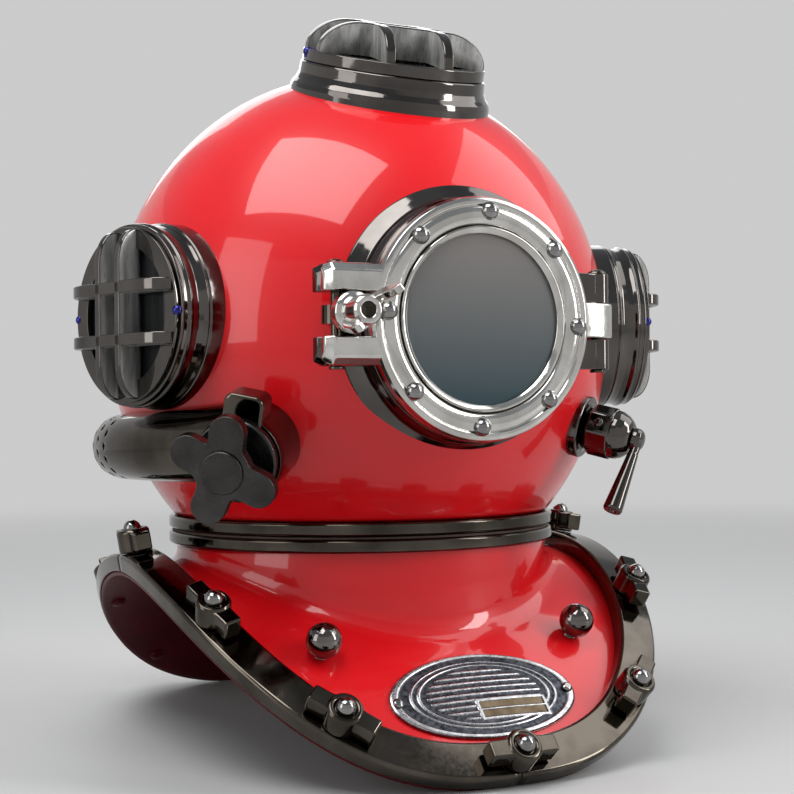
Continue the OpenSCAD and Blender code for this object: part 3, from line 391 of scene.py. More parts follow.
# Studs and wing nuts
# Twelve brass studs, riveted under the sheet, come up through the straps and end in bright balls.
# A block nut with two square arms draws the strap down on each.
ball_chrome = finish("ball_chrome", [(0.21, 0.205, 0.2), (0.31, 0.305, 0.3)], 60, (0.04, 0.09), 700)
stud_r = 5.4
nut_h = 14.0
quarter = [0.0, 35.5, 61.0]
mirrored = [0.0, 90 - quarter[2], 90 - quarter[1]]
stud_turns = [90 * k + turn for k in range(4) for turn in (mirrored if k % 2 else quarter)]


def standing_on_sheet(x, y, run=(1, 0, 0)):
    """A place on the sheet: Z straight out of it, and X along the given direction as nearly as it can be."""
    up = saddle_up(np.float64(x), np.float64(y))
    side = unit(np.cross(up, run))
    return on_sheet(x, y), np.stack([np.cross(side, up), side, up])


def stud_place(turn):
    """The place of the stud at a turn, X along the strap."""
    return standing_on_sheet(*stud_curve(np.float64(turn))[:2], stud_run(turn))


def shifted(place, by, axis=2):
    """The same place moved along one of its own directions, outwards if none is named."""
    return place[0] + by * place[1][axis], place[1]


def lofted(rings, place=upright):
    """Four-sided cells between neighbouring rings of points, with the first and the last closed flat."""
    count, last = len(rings[0]), len(rings[0]) * (len(rings) - 1)
    k = np.arange(count)
    after = (k + 1) % count
    side = np.stack([k, after, after + count, k + count], 1)
    cells = np.concatenate([side + low for low in range(0, last, count)]).tolist()
    return along(np.concatenate(rings), place), cells + [k[::-1].tolist(), (k + last).tolist()]


def prism(outline, low, high, place):
    """An outline of (x, y) points drawn up between two heights."""
    return lofted([np.column_stack([outline, np.full(len(outline), h)]) for h in (low, high)], place)


def arc(r, turn):
    """Points at a distance, or at one distance each, along directions given in degrees."""
    turn = np.radians(turn)
    return np.stack([r * np.cos(turn), r * np.sin(turn)], 1)


strap_top = strap_lift + strap_t
stud_outline = arc(stud_r, np.linspace(0, 90, 13)) + [0, strap_top + nut_h]
stud_outline = np.vstack([[[0, -2.4], [stud_r, -2.4]], stud_outline])
rivet_outline = softened([[0, -2.2], [5, -2.2], [4.6, -3.6], [2.6, -4.6], [0, -4.8]], 0.6)
made("studs", "breastplate",
    [turned(outline, stud_place(turn), 40) for outline in (stud_outline, rivet_outline)
    for turn in stud_turns], [ball_chrome, inner_paint_and_rim_shade], ["brail_studs"],
    marks=np.repeat([0, 1], len(stud_turns)).tolist())

boss = softened([[5.5, 0], [9.4, 0], [10, 1], [10, 12.4], [8.8, 14], [6.9, 14], [5.5, 12.6]], 0.7,
    closed=True)
arm_half, arm_reach, waist_r, blend_power = 5.25, 20.0, 9.4, 9
ray = np.arange(0, 360, 3.0)
c, s = np.maximum(np.abs(arc(1, ray)), 1e-6).T
arm = np.minimum(arm_half / s, arm_reach / c)
nut_plan = arc((arm ** blend_power + waist_r ** blend_power) ** (1 / blend_power), ray)
nuts = []
for turn in stud_turns:
    seat = shifted(stud_place(turn), strap_top + seat_gap)
    nuts += [turned(boss, seat, 48), prism(nut_plan, 1.6, nut_h - 1.4, seat)]
made("wing_nuts", "breastplate", nuts, [black_nickel], ["brail_nuts"], edge=1.3)

# Lanyard studs
# Two big blackened balls on short necks, screwed through the breast.
lanyard_at = (81.5, -123.0)
lanyard_r = 10.2
lanyard_stand = 10.4
lanyard_outline = arc(lanyard_r, np.linspace(-70, 90, 30)) + [0, lanyard_stand]
lanyard_outline = np.vstack([[[0, -4.5], [5, -4.5], [5, -0.2], [4.4, 0.4]], lanyard_outline])
dark_ball = finish("dark_ball", [(0.13, 0.115, 0.108), (0.19, 0.175, 0.165)], 40, (0.05, 0.1), 600)
made("lanyard_balls", "breastplate",
    [turned(lanyard_outline, standing_on_sheet(side * lanyard_at[0], lanyard_at[1]), 72)
    for side in (-1, 1)], [dark_ball], ["lanyard_studs"])

# Oval plate
# A cast and rubbed plate bent to the breast: a raised rim, ruled ribs and one blank panel, no words.
plate_at = (3.0, -156.0)
plate_half = (58.0, 20.28)
plate_t = 2.0
rim_rise, line_rise, panel_rise, panel_sunk = 0.60, 0.40, 0.45, 0.25
line_from, line_to, rib_count = 0.66, 0.82, 46
panel_line = -0.37
old_silver = finish("old_silver", [(0.3, 0.3, 0.31), (0.5, 0.5, 0.51)], 260, (0.16, 0.34), 900, 0.04)
plate_ground = finish("plate_ground", [(0.02, 0.022, 0.028), (0.085, 0.088, 0.1)], 420, (0.3, 0.55), 1100,
    0.12)
worn_panel = finish("worn_panel", [(0.06, 0.043, 0.026), (0.12, 0.092, 0.062)], 120, (0.12, 0.22), 900,
    0.01)


def step_up(value, low, high):
    """A smooth step from nothing to one between two values: 3t^2 - 2t^3."""
    t = np.clip((value - low) / (high - low), 0, 1)
    return t * t * (3 - 2 * t)


def between(value, low, high, ease):
    """One from a value to another and nothing outside them, with smooth steps as wide as ease."""
    return step_up(value, low, low + ease) * (1 - step_up(value, high, high + ease))


def plate_relief(across, up):
    """Height of the plate's face above its seat, for places across and up it in parts of its half sizes.
    A rim and two inner lines are raised, ribs repeat up the middle, and a panel below the middle is flat."""
    far = np.hypot(across, up)
    rim = rim_rise * step_up(far, 0.90, 0.93) * (1 - step_up(far, 0.975, 1.0))
    wave = 0.5 - 0.5 * np.cos(4 * np.pi * (far - line_from) / (line_to - line_from))
    lines = line_rise * wave ** 2 * (far > line_from) * (far < line_to)
    ribs = line_rise * (0.5 + 0.5 * np.cos(up * rib_count)) ** 2 * (1 - step_up(far, 0.60, 0.63))
    panel = between(across, -0.15, 0.62, 0.02) * between(up, -0.62, -0.16, 0.04)
    field = between(across, -0.11, 0.59, 0.01) * between(up, -0.56, -0.20, 0.02)
    field = field * step_up(np.abs(up - panel_line), 0.010, 0.024)
    return plate_t - rim_rise + rim + (lines + ribs) * (1 - panel) + panel_rise * panel - panel_sunk * field


turn = np.radians(np.linspace(0, 360, 481))[None]
far = np.linspace(0, 1, 141)[:, None]
across, up = far * np.cos(turn), far * np.sin(turn)
plate_x = plate_at[0] + plate_half[0] * across
plate_y = plate_at[1] + plate_half[1] * up
lift = saddle_up(plate_x, plate_y)
relief = plate_relief(across, up)
face = on_sheet(plate_x, plate_y) + (seat_gap + relief)[..., None] * lift
back = on_sheet(plate_x, plate_y) + seat_gap * lift
points, cells = surface(face)
high = (relief[:-1, :-1] > plate_t - 0.42).ravel()
on_panel = (across > -0.105) & (across < 0.595) & (up > -0.55) & (up < -0.19)
on_panel = (on_panel & (np.abs(up - panel_line) > 0.014))[:-1, :-1].ravel()
kinds = (high & ~on_panel, ~high & ~on_panel, on_panel)
shapes = [(points, [cell for cell, chosen in zip(cells, kind) if chosen]) for kind in kinds]
shapes += [surface(np.stack([face[-1], back[-1]])), surface(back[::20])]
made("oval_plate", "breastplate", shapes, [old_silver, plate_ground, worn_panel], ["data_plate"],
    marks=[0, 1, 2, 0, 1])

screw_outline = softened([[0, 0.1], [1.6, 0.1], [1.6, 2.4], [3.2, 2.4], [3, 3.2], [2, 3.9], [0, 4]], 0.3)
plate_screws = []
for side in (-1, 1):
    spot = standing_on_sheet(plate_at[0] + side * 0.93 * plate_half[0], plate_at[1])
    plate_screws.append(turned(screw_outline, spot, 40))
made("plate_screw_heads", "breastplate", plate_screws, [ball_chrome], ["plate_screws"])

# Neck rings
# Two machined brass rings with interrupted lugs lock the bonnet to the breastplate on a leather washer.
neck_r = 106.0
skirt_r = neck_r + 3.4
lug_in = 3.2
lug_turn = 42.0
lug_split = 3.5
skirt_drop = 4.0
band_cut = 1.2
ring_low = joint_z - half_washer - ring_h
upper_low = joint_z + half_washer + run_gap
leather = finish("leather", [(0.035, 0.017, 0.01), (0.07, 0.035, 0.02)], 90, (0.6, 0.75), 1200, 0.2,
    metal=0)


def ring_band(bore, low):
    """Outline of a ring's band: a square section with its two outer edges turned off."""
    high, waist = low + ring_h, neck_ring_r - band_cut
    return softened([[bore, low], [waist, low], [neck_ring_r, low + band_cut],
        [neck_ring_r, high - band_cut], [waist, high], [bore, high]], 0.5, closed=True)


def plain_ring(inner, outer, low, high, soft):
    """Outline of a plain ring with softened corners."""
    return softened([[inner, low], [outer, low], [outer, high], [inner, high]], soft, closed=True)


def lug(inner, outer, low, high, middle):
    """A block of the ring's lug: a square section carried over the lug's turn, with closed ends."""
    section = np.array([[inner, low], [outer, low], [outer, high], [inner, high], [inner, low]])
    turn = np.radians(np.linspace(middle - lug_turn / 2, middle + lug_turn / 2, 25))[:, None]
    block = np.stack([section[:, 0] * np.cos(turn), section[:, 0] * np.sin(turn), section[:, 1] + 0 * turn],
        -1)
    ends = block[[0, -1]].mean(1, keepdims=True) + 0 * block[[0, -1]]
    return surface(np.concatenate([ends[:1], block, ends[1:]]))


lug_base = skirt_r + run_gap + lug_in + run_gap
made("lower_neck_ring", "breastplate", [turned(ring_band(lug_base, ring_low), steps=240)]
    + [lug(skirt_r + run_gap, lug_base + 0.5, ring_low + lug_split, ring_low + ring_h - 0.1, 90 * k)
    for k in range(4)], [black_nickel], ["breastplate_ring"])
skirt = plain_ring(neck_r, skirt_r, ring_low - skirt_drop, upper_low + 1, 0.4)
made("upper_neck_ring", "bonnet", [turned(ring_band(neck_r, upper_low), steps=240),
    turned(skirt, steps=240)] + [lug(skirt_r - 0.5, skirt_r + lug_in, ring_low - skirt_drop,
    ring_low + lug_split - run_gap, 90 * k) for k in range(4)], [black_nickel], ["bonnet_ring"])
washer = plain_ring(skirt_r + 0.8, neck_ring_r - 2, joint_z - 0.7, joint_z + 0.7, 0.3)
made("leather_washer", "breastplate", [turned(washer, steps=200)], [leather], ["neck_washer"])

# Dome
# A copper bowl spun thin, pierced for the windows and valves, sprayed red, polished and lacquered.
dome_r = 160.0
dome_z = 250.0
dome_rise = 169.0
dome_low = upper_low + ring_h + seat_gap


def seat_at(height, turn, lean):
    """A place on the neck axis whose Z leans from straight up and is then turned about the neck."""
    t, l = np.radians([turn, lean])
    ways = [[np.cos(l) * np.cos(t), np.cos(l) * np.sin(t), -np.sin(l)], [-np.sin(t), np.cos(t), 0.0],
        [np.sin(l) * np.cos(t), np.sin(l) * np.sin(t), np.cos(l)]]
    return np.array([0.0, 0.0, height]), np.array(ways)


def dome_plan(height):
    """The dome's radius at a height: its ellipse."""
    return dome_r * np.sqrt(1 - ((height - dome_z) / dome_rise) ** 2)


def fitting_place(height, foot_turn, turn, lean):
    """A place whose start point lies on the dome at a height and a turn about the neck."""
    r = dome_plan(height)
    start = np.array([r * np.cos(np.radians(foot_turn)), r * np.sin(np.radians(foot_turn)), height])
    return start, seat_at(0, turn, lean)[1]


front_place = seat_at(252.0, -90.0, 90.0)
side_places = {side: seat_at(258.0, -90.0 + sign * 72.0, 90.0)
    for side, sign in (("left", 1), ("right", -1))}
top_place = seat_at(dome_z, -90.0, 18.5)
valve_place = fitting_place(186.0, 222.9, 231.3, 104.1)
cock_place = fitting_place(192.0, -50.5, -50.5, 104.0)
cup_lean = 50.0
cup_reach = 1 / np.hypot(np.sin(np.radians(cup_lean)) / dome_r, np.cos(np.radians(cup_lean)) / dome_rise)
cup_place = shifted(seat_at(dome_z, 4.0, cup_lean), cup_reach)
elbow_places = {side: fitting_place(222.0, 90 - sign * 30, 90 - sign * 30, 90.0)
    for side, sign in (("air", 1), ("phone", -1))}
low_angle = np.degrees(np.arcsin((dome_low - dome_z) / dome_rise))
rise = np.radians(np.linspace(low_angle, 90, 141))[:, None]
turn = np.radians(np.linspace(0, 360, 361))
bowl = np.stack([dome_r * np.cos(rise) * np.cos(turn), dome_r * np.cos(rise) * np.sin(turn),
    dome_z + dome_rise * np.sin(rise) + 0 * turn], -1)
middle = (bowl[:-1, :-1] + bowl[1:, 1:]) / 2
keep = np.ones(middle.shape[:2], bool)
for place, hole in ((front_place, 57.5), (side_places["left"], 42.5), (side_places["right"], 42.5),
        (top_place, 47.5), (valve_place, 17.0), (cock_place, 6.0), (cup_place, 30.0),
        (elbow_places["air"], 10.0), (elbow_places["phone"], 10.0)):
    own = (middle - place[0]) @ place[1].T
    keep &= ~((np.hypot(own[..., 0], own[..., 1]) < hole) & (own[..., 2] > -30))
points, cells = surface(bowl)
made("dome", "bonnet", [(points, [cell for cell, kept in zip(cells, keep.ravel()) if kept])],
    [red_paint, inner_paint_and_rim_shade], ["bonnet_shell"], closed=False, wall=sheet)

# Front window frame
# A flared brass casting soldered to the dome, with hinge knuckles at one side and fork lugs at the other.
door_r = 68.2
frame_face = 157.8
front_bore = 54.0
front_spigot = 61.0
front_tail = 136.8
under_paint = 1.2
hinge_at = np.array([84.0, -152.0, 253.0])
latch_at = np.array([-83.0, -152.0, 253.5])
polished_black = finish("polished_black", [(0.075, 0.069, 0.064), (0.13, 0.12, 0.112)], 22, (0.05, 0.11),
    500, 0.006)


def soldered(outline, place, steps):
    """A turned fitting with a closed outline, whose ends slide along the place's Z to just under the dome's
    paint: the far root of (x^2 + y^2) / r^2 + (z - middle)^2 / rise^2 = 1 on each line."""
    outline = np.vstack([outline, outline[:1]])
    points, cells = turned(outline, place, steps)
    grid = points.reshape(-1, len(outline), 3)
    ends = [0, -2, -1]
    scale = np.array([dome_r, dome_r, dome_rise]) - under_paint
    start = (grid[:, ends] - [0, 0, dome_z]) / scale
    way = place[1][2] / scale
    b = start @ way
    gap = b ** 2 - (way @ way) * ((start ** 2).sum(-1) - 1)
    grid[:, ends] += ((-b + np.sqrt(np.maximum(gap, 0))) / (way @ way))[..., None] * place[1][2]
    return grid.reshape(-1, 3), cells


def window_frame(outline, inner, softness, place):
    """A frame turned round its window: its outside from the dome up to the face, then its inside down."""
    inner = softened(np.vstack([outline[-1:], inner]), softness[1])[1:]
    return soldered(np.vstack([softened(outline, softness[0]), inner]), place, 180)


def fork(face, back):
    """The fork's two lugs: a section with its far corner cut off, carried outwards and cut at the end."""
    root_x, cut_x, tip_x, cut, slot_half = -60.2, -90.5, -95.0, 4.5, 12.0
    lugs = []
    for flip in (1, -1):
        stations = []
        for x, low, top in ((root_x, face, 27.5), (cut_x, face, 27.5), (tip_x, face - cut, 25.0)):
            y = [-low, -low, cut - low, -back, -back]
            z = np.array([slot_half, top - cut, top, top, slot_half])
            stations.append(np.column_stack([np.full(5, x), y, latch_at[2] + flip * z]))
        lugs.append(lofted(stations))
    return lugs


front_outline = [[78, 132], [78, 141], [74, 144], [70, 147.5], [69.4, 152], [67.8, 155], [67.8, frame_face]]
front_inside = [[front_bore, frame_face], [front_bore, front_tail], [front_spigot, front_tail],
    [front_spigot, front_tail + 2]]
made("front_window_frame", "bonnet", [window_frame(front_outline, front_inside, (0.8, 0.6), front_place)],
    [polished_black])
hinge_bore, knuckle_r, knuckle_low, knuckle_high = 3.5, 6.8, 10.4, 27.9
knuckle = plain_ring(hinge_bore, knuckle_r, knuckle_low, knuckle_high, 0.6)
hinge_place = (hinge_at, np.eye(3))
ear = np.array([[60.2, -157.8], [80, -157.8], [80, -149.5], [60.2, -148.8]])
ears = [prism(ear, hinge_at[2] + low, hinge_at[2] + low + knuckle_high - knuckle_low, upright)
    for low in (knuckle_low, -knuckle_high)]
barrels = [turned(knuckle * [1, flip], hinge_place, 48) for flip in (1, -1)]
made("front_frame_lugs", "bonnet", fork(frame_face, frame_face - 10) + ears + barrels, [polished_black],
    ["front_frame"], edge=0.9)

# Hinge and latch pins
# Two turned pins, dropped through their lugs and riveted over.
for name, place, r, half, head in (("hinge_pin", hinge_place, 3.45, 28.1, 5.6),
        ("latch_pin", (latch_at, np.eye(3)), 2.95, 27.7, 5.2)):
    pin = softened([[0, -half - 1.6], [head * 0.8, -half - 1.6], [head * 0.8, -half], [r, -half], [r, half],
        [head, half], [head * 0.9, half + 1.2], [head * 0.5, half + 2.4], [0, half + 2.4]], 0.4)
    made(name + "_turned", "bonnet", [turned(pin, place, 40)], [black_nickel], [name])

# Door
# A cast ring, turned and polished bright, with a bead round its edge and a hinge knuckle and fork.
# Eight round-headed screws hold the bezel that clamps the glass.
door_face = 169.0
door_back = 159.0
bright_nickel = finish("bright_nickel", [(0.5, 0.485, 0.455), (0.66, 0.645, 0.615)], 45, (0.08, 0.16), 520,
    0.008)
band_out, band_in, band_low, band_crown = 61.9, 53.2, 168.2, 1.2
band = np.linspace(band_out, band_in, 11)
off_middle = (2 * band - band_out - band_in) / (band_out - band_in)
bead = [[48.5, door_back], [door_r, door_back], [door_r, 165.2], [67.2, 168], [65.2, 169], [63.4, 168.7],
    [62.5, 167.7]]
band = np.stack([band, band_low + band_crown * (1 - off_middle ** 2)], 1)
ledge = [[52.2, 167.2], [52.2, 160.8], [48.5, 160.8]]
ring_outline = softened(np.vstack([bead, band, ledge]), 0.5, closed=True)
made("door_ring_turned", "faceplate", [turned(ring_outline, front_place, 240)], [bright_nickel], ())
door_knuckle = plain_ring(hinge_bore, knuckle_r, -10, 10, 0.6)
tab_half = 9.9
tab = np.array([[64.2, -159], [77.5, -159], [77.5, -153], [90.2, -152.4], [90.2, -156], [89.2, -160],
    [86.6, -163.2], [82, -165], [74, -166.2], [64.2, -166.8]])
made("door_lugs", "faceplate", fork(door_face - 1, door_back) + [turned(door_knuckle, hinge_place, 48),
    prism(tab, hinge_at[2] - tab_half, hinge_at[2] + tab_half, upright)], [bright_nickel], ["door_ring"],
    edge=1.0)
bezel = softened([[47.5, 165.3], [51.7, 165.3], [51.7, 167.9], [50.9, 168.7], [49.9, 168.5], [48.4, 167.3],
    [47.5, 166.4]], 0.4, closed=True)
made("bezel_turned", "faceplate", [turned(bezel, front_place, 200)], [bright_nickel], ["door_bezel"])
screw_circle, screw_count, screw_turn, head_r = 59.8, 8, -3, 5.2
screw_head = np.vstack([[[0, 159.6], [2.5, 159.6], [2.5, 169.2], [5.1, 169.2]],
    arc(head_r, np.linspace(7, 90, 14)) + [0, 168.6]])
door_screws = []
for x, y in arc(screw_circle, np.arange(screw_count) * 360 / screw_count + screw_turn):
    spot = (along(np.array([x, y, 0.0]), front_place), front_place[1])
    door_screws.append(turned(screw_head, spot, 48))
made("door_screws", "faceplate", door_screws, [ball_chrome], ["door_screw_set"])

# Swing bolt's wing nut
# A turned barrel with a flange and two upright ears, cast bright, that draws the fork shut.
latch_axis = (np.array([latch_at[0], 0.0, latch_at[2]]), seat_at(0, -90.0, 90.0)[1])
barrel = softened([[4.05, 169.4], [10.2, 169.4], [11.2, 170.4], [11.2, 176.4], [10.2, 177.4], [8, 178.6],
    [8.2, 180.4], [8.2, 193.3], [6.9, 195], [4.9, 195], [4.05, 194.2]], 0.6, closed=True)
ear = softened([[5, 179.4], [11.2, 181.4], [15.6, 190], [18.2, 204], [17, 209], [12.8, 208.4], [8.2, 193],
    [5, 190.6]], 2.2, closed=True)[:-1]
ear_turn, ear_half = 42, 2.2
wing_parts = [turned(barrel, latch_axis, 64)]
for side in (0, 180):
    angle = np.radians(90 + side + ear_turn)
    start, ways = latch_axis
    out = np.cos(angle) * ways[0] + np.sin(angle) * ways[1]
    thick = np.cross(ways[2], out)
    wing_parts.append(prism(ear, -ear_half, ear_half, (start, np.stack([out, ways[2], -thick]))))
made("latch_wing_nut", "swing_nut", wing_parts, [bright_nickel], ["wing_nut"], edge=0.8)

# Side windows
# A turned brass frame on each side, its glass bedded in the face, under a guard with two bars each way.
side_r = 54.0
side_rim = 181.0
side_face = side_rim - 2.5
side_steps = ((0, -19), (-1, -18.2), (-0.4, -17.2), (-1.6, -15), (-2.4, -11.5), (-2, -8), (-1, -6),
    (-1.4, -4.9), (-2.2, -4.3), (-2.2, -1.7), (-1.8, -1.2), (-2.4, 0))
side_outline = [[side_r, 130.0]] + [[side_r + r, side_face + d] for r, d in side_steps]
brushed_side = finish("brushed_side", [(0.26, 0.26, 0.25), (0.62, 0.61, 0.59)], 210, (0.26, 0.42), 900,
    0.05, stretch=(1, 1, 0.12), metal=0.4)


def glazed_frame(outline, bore, depth, place):
    """A window's frame with a stepped seat for the glass behind its face."""
    inner = np.array([[4, 0], [4, -6], [0, -6], [0, -depth], [5, -depth], [5, 2 - depth]])
    return window_frame(outline, inner + [bore, outline[-1][1]], (0.5, 0.4), place)


def guard_bar(half, thick, rim, high, curve, under, place):
    """A bar of a guard: its back rises from the rim in two quarter arcs, its underside is a flat arch between
    two feet, and its square section has broken edges. Its brushed sides and polished back alternate."""
    a = np.radians(np.linspace(0, 90, 13))
    foot_w, arch_share, sunk, round_off = 7.0, 0.55, 1.5, 0.9
    low, inner = rim - sunk, half - foot_w
    back = np.stack([half - curve * (1 - np.cos(a)), rim + high * np.sin(a)], 1)
    belly = np.stack([inner - inner * arch_share * (1 - np.cos(a)), low + (under + sunk) * np.sin(a)], 1)
    back, belly = np.vstack([[half, low], back]), np.vstack([belly[:1], belly])
    back, belly = [np.vstack([line, line[::-1] * [-1, 1]]) for line in (back, belly)]
    way = unit(back - belly)
    quarter = np.radians(np.linspace(0, 90, 5))
    across = np.concatenate([[thick / 2], thick / 2 - round_off * (1 - np.cos(quarter))])
    depth = np.concatenate([[0.0], round_off * (1 - np.sin(quarter))])

    def strip(line, width):
        """Cells between lines of (x, z) points that lie at widths across the bar."""
        width = np.broadcast_to(width, line.shape[:2])
        return surface(along(np.stack([line[..., 0], width, line[..., 1]], -1), place))

    shapes = []
    for flip in (1, -1):
        flat = np.concatenate([belly[:, None], back[:, None] - depth[1:, None] * way[:, None]], 1)
        shapes += [strip(flat[:, :2], flip * across[:2]), strip(flat[:, 1:], flip * across[1:])]
    both = np.array([1, -1])
    return shapes + [strip(np.stack([back, back], 1), both * (thick / 2 - round_off)),
        strip(np.stack([belly, belly], 1), both * thick / 2)]


bar_marks = [1, 0, 1, 0, 0, 1]


def spun(place, turn):
    """The same place with its X and Y turned about its Z."""
    c, s = np.cos(np.radians(turn)), np.sin(np.radians(turn))
    x, y, z = place[1]
    return place[0], np.stack([c * x + s * y, c * y - s * x, z])


def guard(ring, rim, bars, place):
    """A guard's ring and its crossed bars, each (turn, offset, thickness, height, curve, underside)."""
    inner, outer, low = ring
    parts = [turned(plain_ring(inner, outer, low, rim, 0.7), place, 160)]
    for turn, offset, thick, high, curve, under in bars:
        half = np.sqrt(outer ** 2 - (abs(offset) + thick / 2) ** 2) - 0.4
        parts += guard_bar(half, thick, rim, high, curve, under, shifted(spun(place, turn), offset, 1))
    return parts


side_bars = [(turn, sign * offset, thick, 12.0, 20.0, -1.0)
    for turn, offset, thick in ((0, 9.8, 5.0), (90, 14.8, 7.0)) for sign in (1, -1)]
for side, place in side_places.items():
    made("side_window_frame_" + side, "bonnet", [glazed_frame(side_outline, 40, 41, place)],
        [polished_black], ["side_frame_" + side])
    made("side_window_guard_" + side, "bonnet", guard((39.0, 50.0, 178.7), side_rim, side_bars, place),
        [polished_black, brushed_side], ["side_guard_" + side], marks=[0] + 4 * bar_marks)

# Top window
# It leans forward on a wider flared foot, and its guard stands higher and is hollow beneath.
top_outline = [[62.5, 145], [62.5, 157], [61.5, 160], [59.5, 162.5], [57.9, 166], [57.5, 172], [56.7, 173]]
top_bars = [(turn, sign * offset, 6.0, 20.0, 27.0, 0.5)
    for turn, offset in ((0, 18.0), (90, 14.0)) for sign in (1, -1)]
made("top_window_frame", "bonnet", [glazed_frame(top_outline, 45, 33, top_place)], [polished_black],
    ["top_frame"])
made("top_window_guard", "bonnet", guard((45.0, 56.5, 173.2), 180.0, top_bars, spun(top_place, -8)),
    [polished_black, brushed_side], ["top_guard"], marks=[0] + 4 * bar_marks)

# Exhaust valve
# A turned body soldered to the lower dome, with a wrench lug and a flanged sleeve for the wheel's thread.
satin_dark = finish("satin_dark", [(0.04, 0.038, 0.037), (0.072, 0.069, 0.067)], 40, (0.24, 0.36), 650,
    0.03)
valve_r = 24.5
body = softened([[valve_r, -20], [valve_r, 34], [24, 38], [23.4, 38], [23.4, 37], [9, 37], [9, 34],
    [16, 34], [16, -14], [18, -14], [18, -12]], 0.6)
made("exhaust_valve_body", "bonnet", [soldered(body, valve_place, 160)], [black_nickel])
lug_end = arc(5, 90 - np.linspace(0, 90, 9)) + [31, 6]
lug_plan = np.vstack([[[14, 11]], lug_end, (lug_end * [1, -1])[::-1], [[14, -11]]])[::-1]
made("exhaust_wrench_lug", "bonnet", [prism(lug_plan, 22.0, 40.0, spun(valve_place, 168))], [black_nickel],
    ["exhaust_body"], edge=1.6)
sleeve = softened([[3.7, 35], [8.8, 35], [8.8, 38.2], [23, 38.2], [23, 43.2], [22, 44.2], [8.8, 44.2],
    [8.8, 53], [3.7, 53]], 0.5, closed=True)
made("exhaust_cover_turned", "bonnet", [turned(sleeve, valve_place, 120)], [satin_dark], ["exhaust_cover"])

# Handwheel
# A cast wheel with four round lobes a little out of square, a raised disc and a hub, left satin.
lobe_reach, lobe_r, middle_r, wheel_blend = 21.0, 9.5, 15.5, 18
lobe_turns = (-27.0, 62.0, 168.0, 239.0)


def wheel_outline(count):
    """The wheel's edge. Towards each lobe a ray leaves a bar of the lobe's width, or past its reach the
    lobe's own circle, and the farthest of all and of the middle disc are blended with a high power."""
    ray = np.linspace(0, 360, count, endpoint=False)
    off = np.radians(ray)[:, None] - np.radians(lobe_turns)
    c, s = np.cos(off), np.abs(np.sin(off))
    flank = lobe_r / np.maximum(s, 1e-6)
    tip = lobe_reach * c + np.sqrt(np.maximum(lobe_r ** 2 - (lobe_reach * s) ** 2, 0))
    far = np.where(flank * c <= lobe_reach, flank, tip)
    far = np.where(c > 0, far, 1.0)
    return arc((np.sum(far ** wheel_blend, 1) + middle_r ** wheel_blend) ** (1 / wheel_blend), ray)


raised_disc = softened([[0, 64], [11.8, 64], [11.8, 66.6], [11, 67.3], [0, 67.3]], 0.3)
hub = softened([[4, 53.5], [12, 53.5], [13, 54.5], [13, 58.5], [4, 58.5]], 0.4, closed=True)
made("exhaust_wheel", "handwheel", [prism(wheel_outline(360), 57.3, 65.3, valve_place),
    turned(raised_disc, valve_place, 96), turned(hub, valve_place, 72)], [satin_dark],
    ["exhaust_handwheel"], edge=2.0)

# Exhaust horn
# A drawn copper tube bent round the dome from the valve, closed with a half ball and pierced with holes.
horn_in, horn_z, horn_r = 153.0, 182.5, 20.0
horn_first, horn_last, horn_swell = 221.0, 174.0, 3.5


def horn_tube(r):
    """The horn's wall: circles round a bend about the neck that swell with the cube of the way to the valve,
    then shrinking circles of a half ball. What would lie inside the dome is drawn out to under its paint."""
    t = np.linspace(1, 0, 70)
    swell = horn_swell * t ** 3
    cap = np.radians(np.linspace(0, 90, 19))[1:]
    turn = np.concatenate([horn_last + (horn_first - horn_last) * t, 0 * cap + horn_last])
    turn = np.radians(turn)[:, None]
    size = np.concatenate([r + swell, r * np.cos(cap)])[:, None]
    past = np.concatenate([0 * t, r * np.sin(cap)])[:, None]
    lift = np.concatenate([swell, 0 * cap])[:, None]
    a = np.radians(np.linspace(0, 360, 73))[None]
    far = horn_in + size * np.cos(a)
    grid = np.stack([far * np.cos(turn) + past * np.sin(turn), far * np.sin(turn) - past * np.cos(turn),
        horn_z + lift + size * np.sin(a)], -1)
    own = (grid - [0, 0, dome_z]) / (np.array([dome_r, dome_r, dome_rise]) - under_paint / 2)
    level = np.linalg.norm(own, axis=-1, keepdims=True)
    return np.where(level < 1, [0, 0, dome_z] + (grid - [0, 0, dome_z]) / level, grid)


horn = made("exhaust_horn_tube", "bonnet", [surface(horn_tube(horn_r))], [black_nickel, black_nickel],
    ["exhaust_horn"], closed=False, wall=1.5)
hole_r, hole_start, hole_deep = 2.3, 14, 12
hole = softened([[0, 0], [hole_r, 0], [hole_r, hole_deep], [0, hole_deep]], 0.01)
ring_count, ring_first, ring_step = 4, 9, 4.6
hole_count, hole_first, hole_step = 7, 20, 23
punches = []
for ring, k in np.ndindex(ring_count, hole_count):
    bend = np.radians(horn_last + ring_first - ring_step * ring)
    tilt = np.radians(hole_first + hole_step * (k + ring % 2 / 2) - 90)
    out = np.array([np.cos(bend), np.sin(bend), 0.0])
    way = np.cos(tilt) * out - np.sin(tilt) * np.array([0, 0, 1.0])
    start = horn_in * out + [0, 0, horn_z] + hole_start * way
    side = np.array([-np.sin(bend), np.cos(bend), 0.0])
    punches.append(turned(hole, (start, np.stack([side, np.cross(way, side), way])), 16))
punch = made("punches", None, punches, [black_nickel])
punch.modifiers.clear()
cut = horn.modifiers.new("holes", "BOOLEAN")
cut.operation = "DIFFERENCE"
cut.object = punch
cut.solver = "EXACT"
horn.modifiers.move(len(horn.modifiers) - 1, 1)
pierced = bpy.data.meshes.new_from_object(horn.evaluated_get(bpy.context.evaluated_depsgraph_get()))
horn.modifiers.clear()
horn.data = pierced
bpy.data.objects.remove(punch)

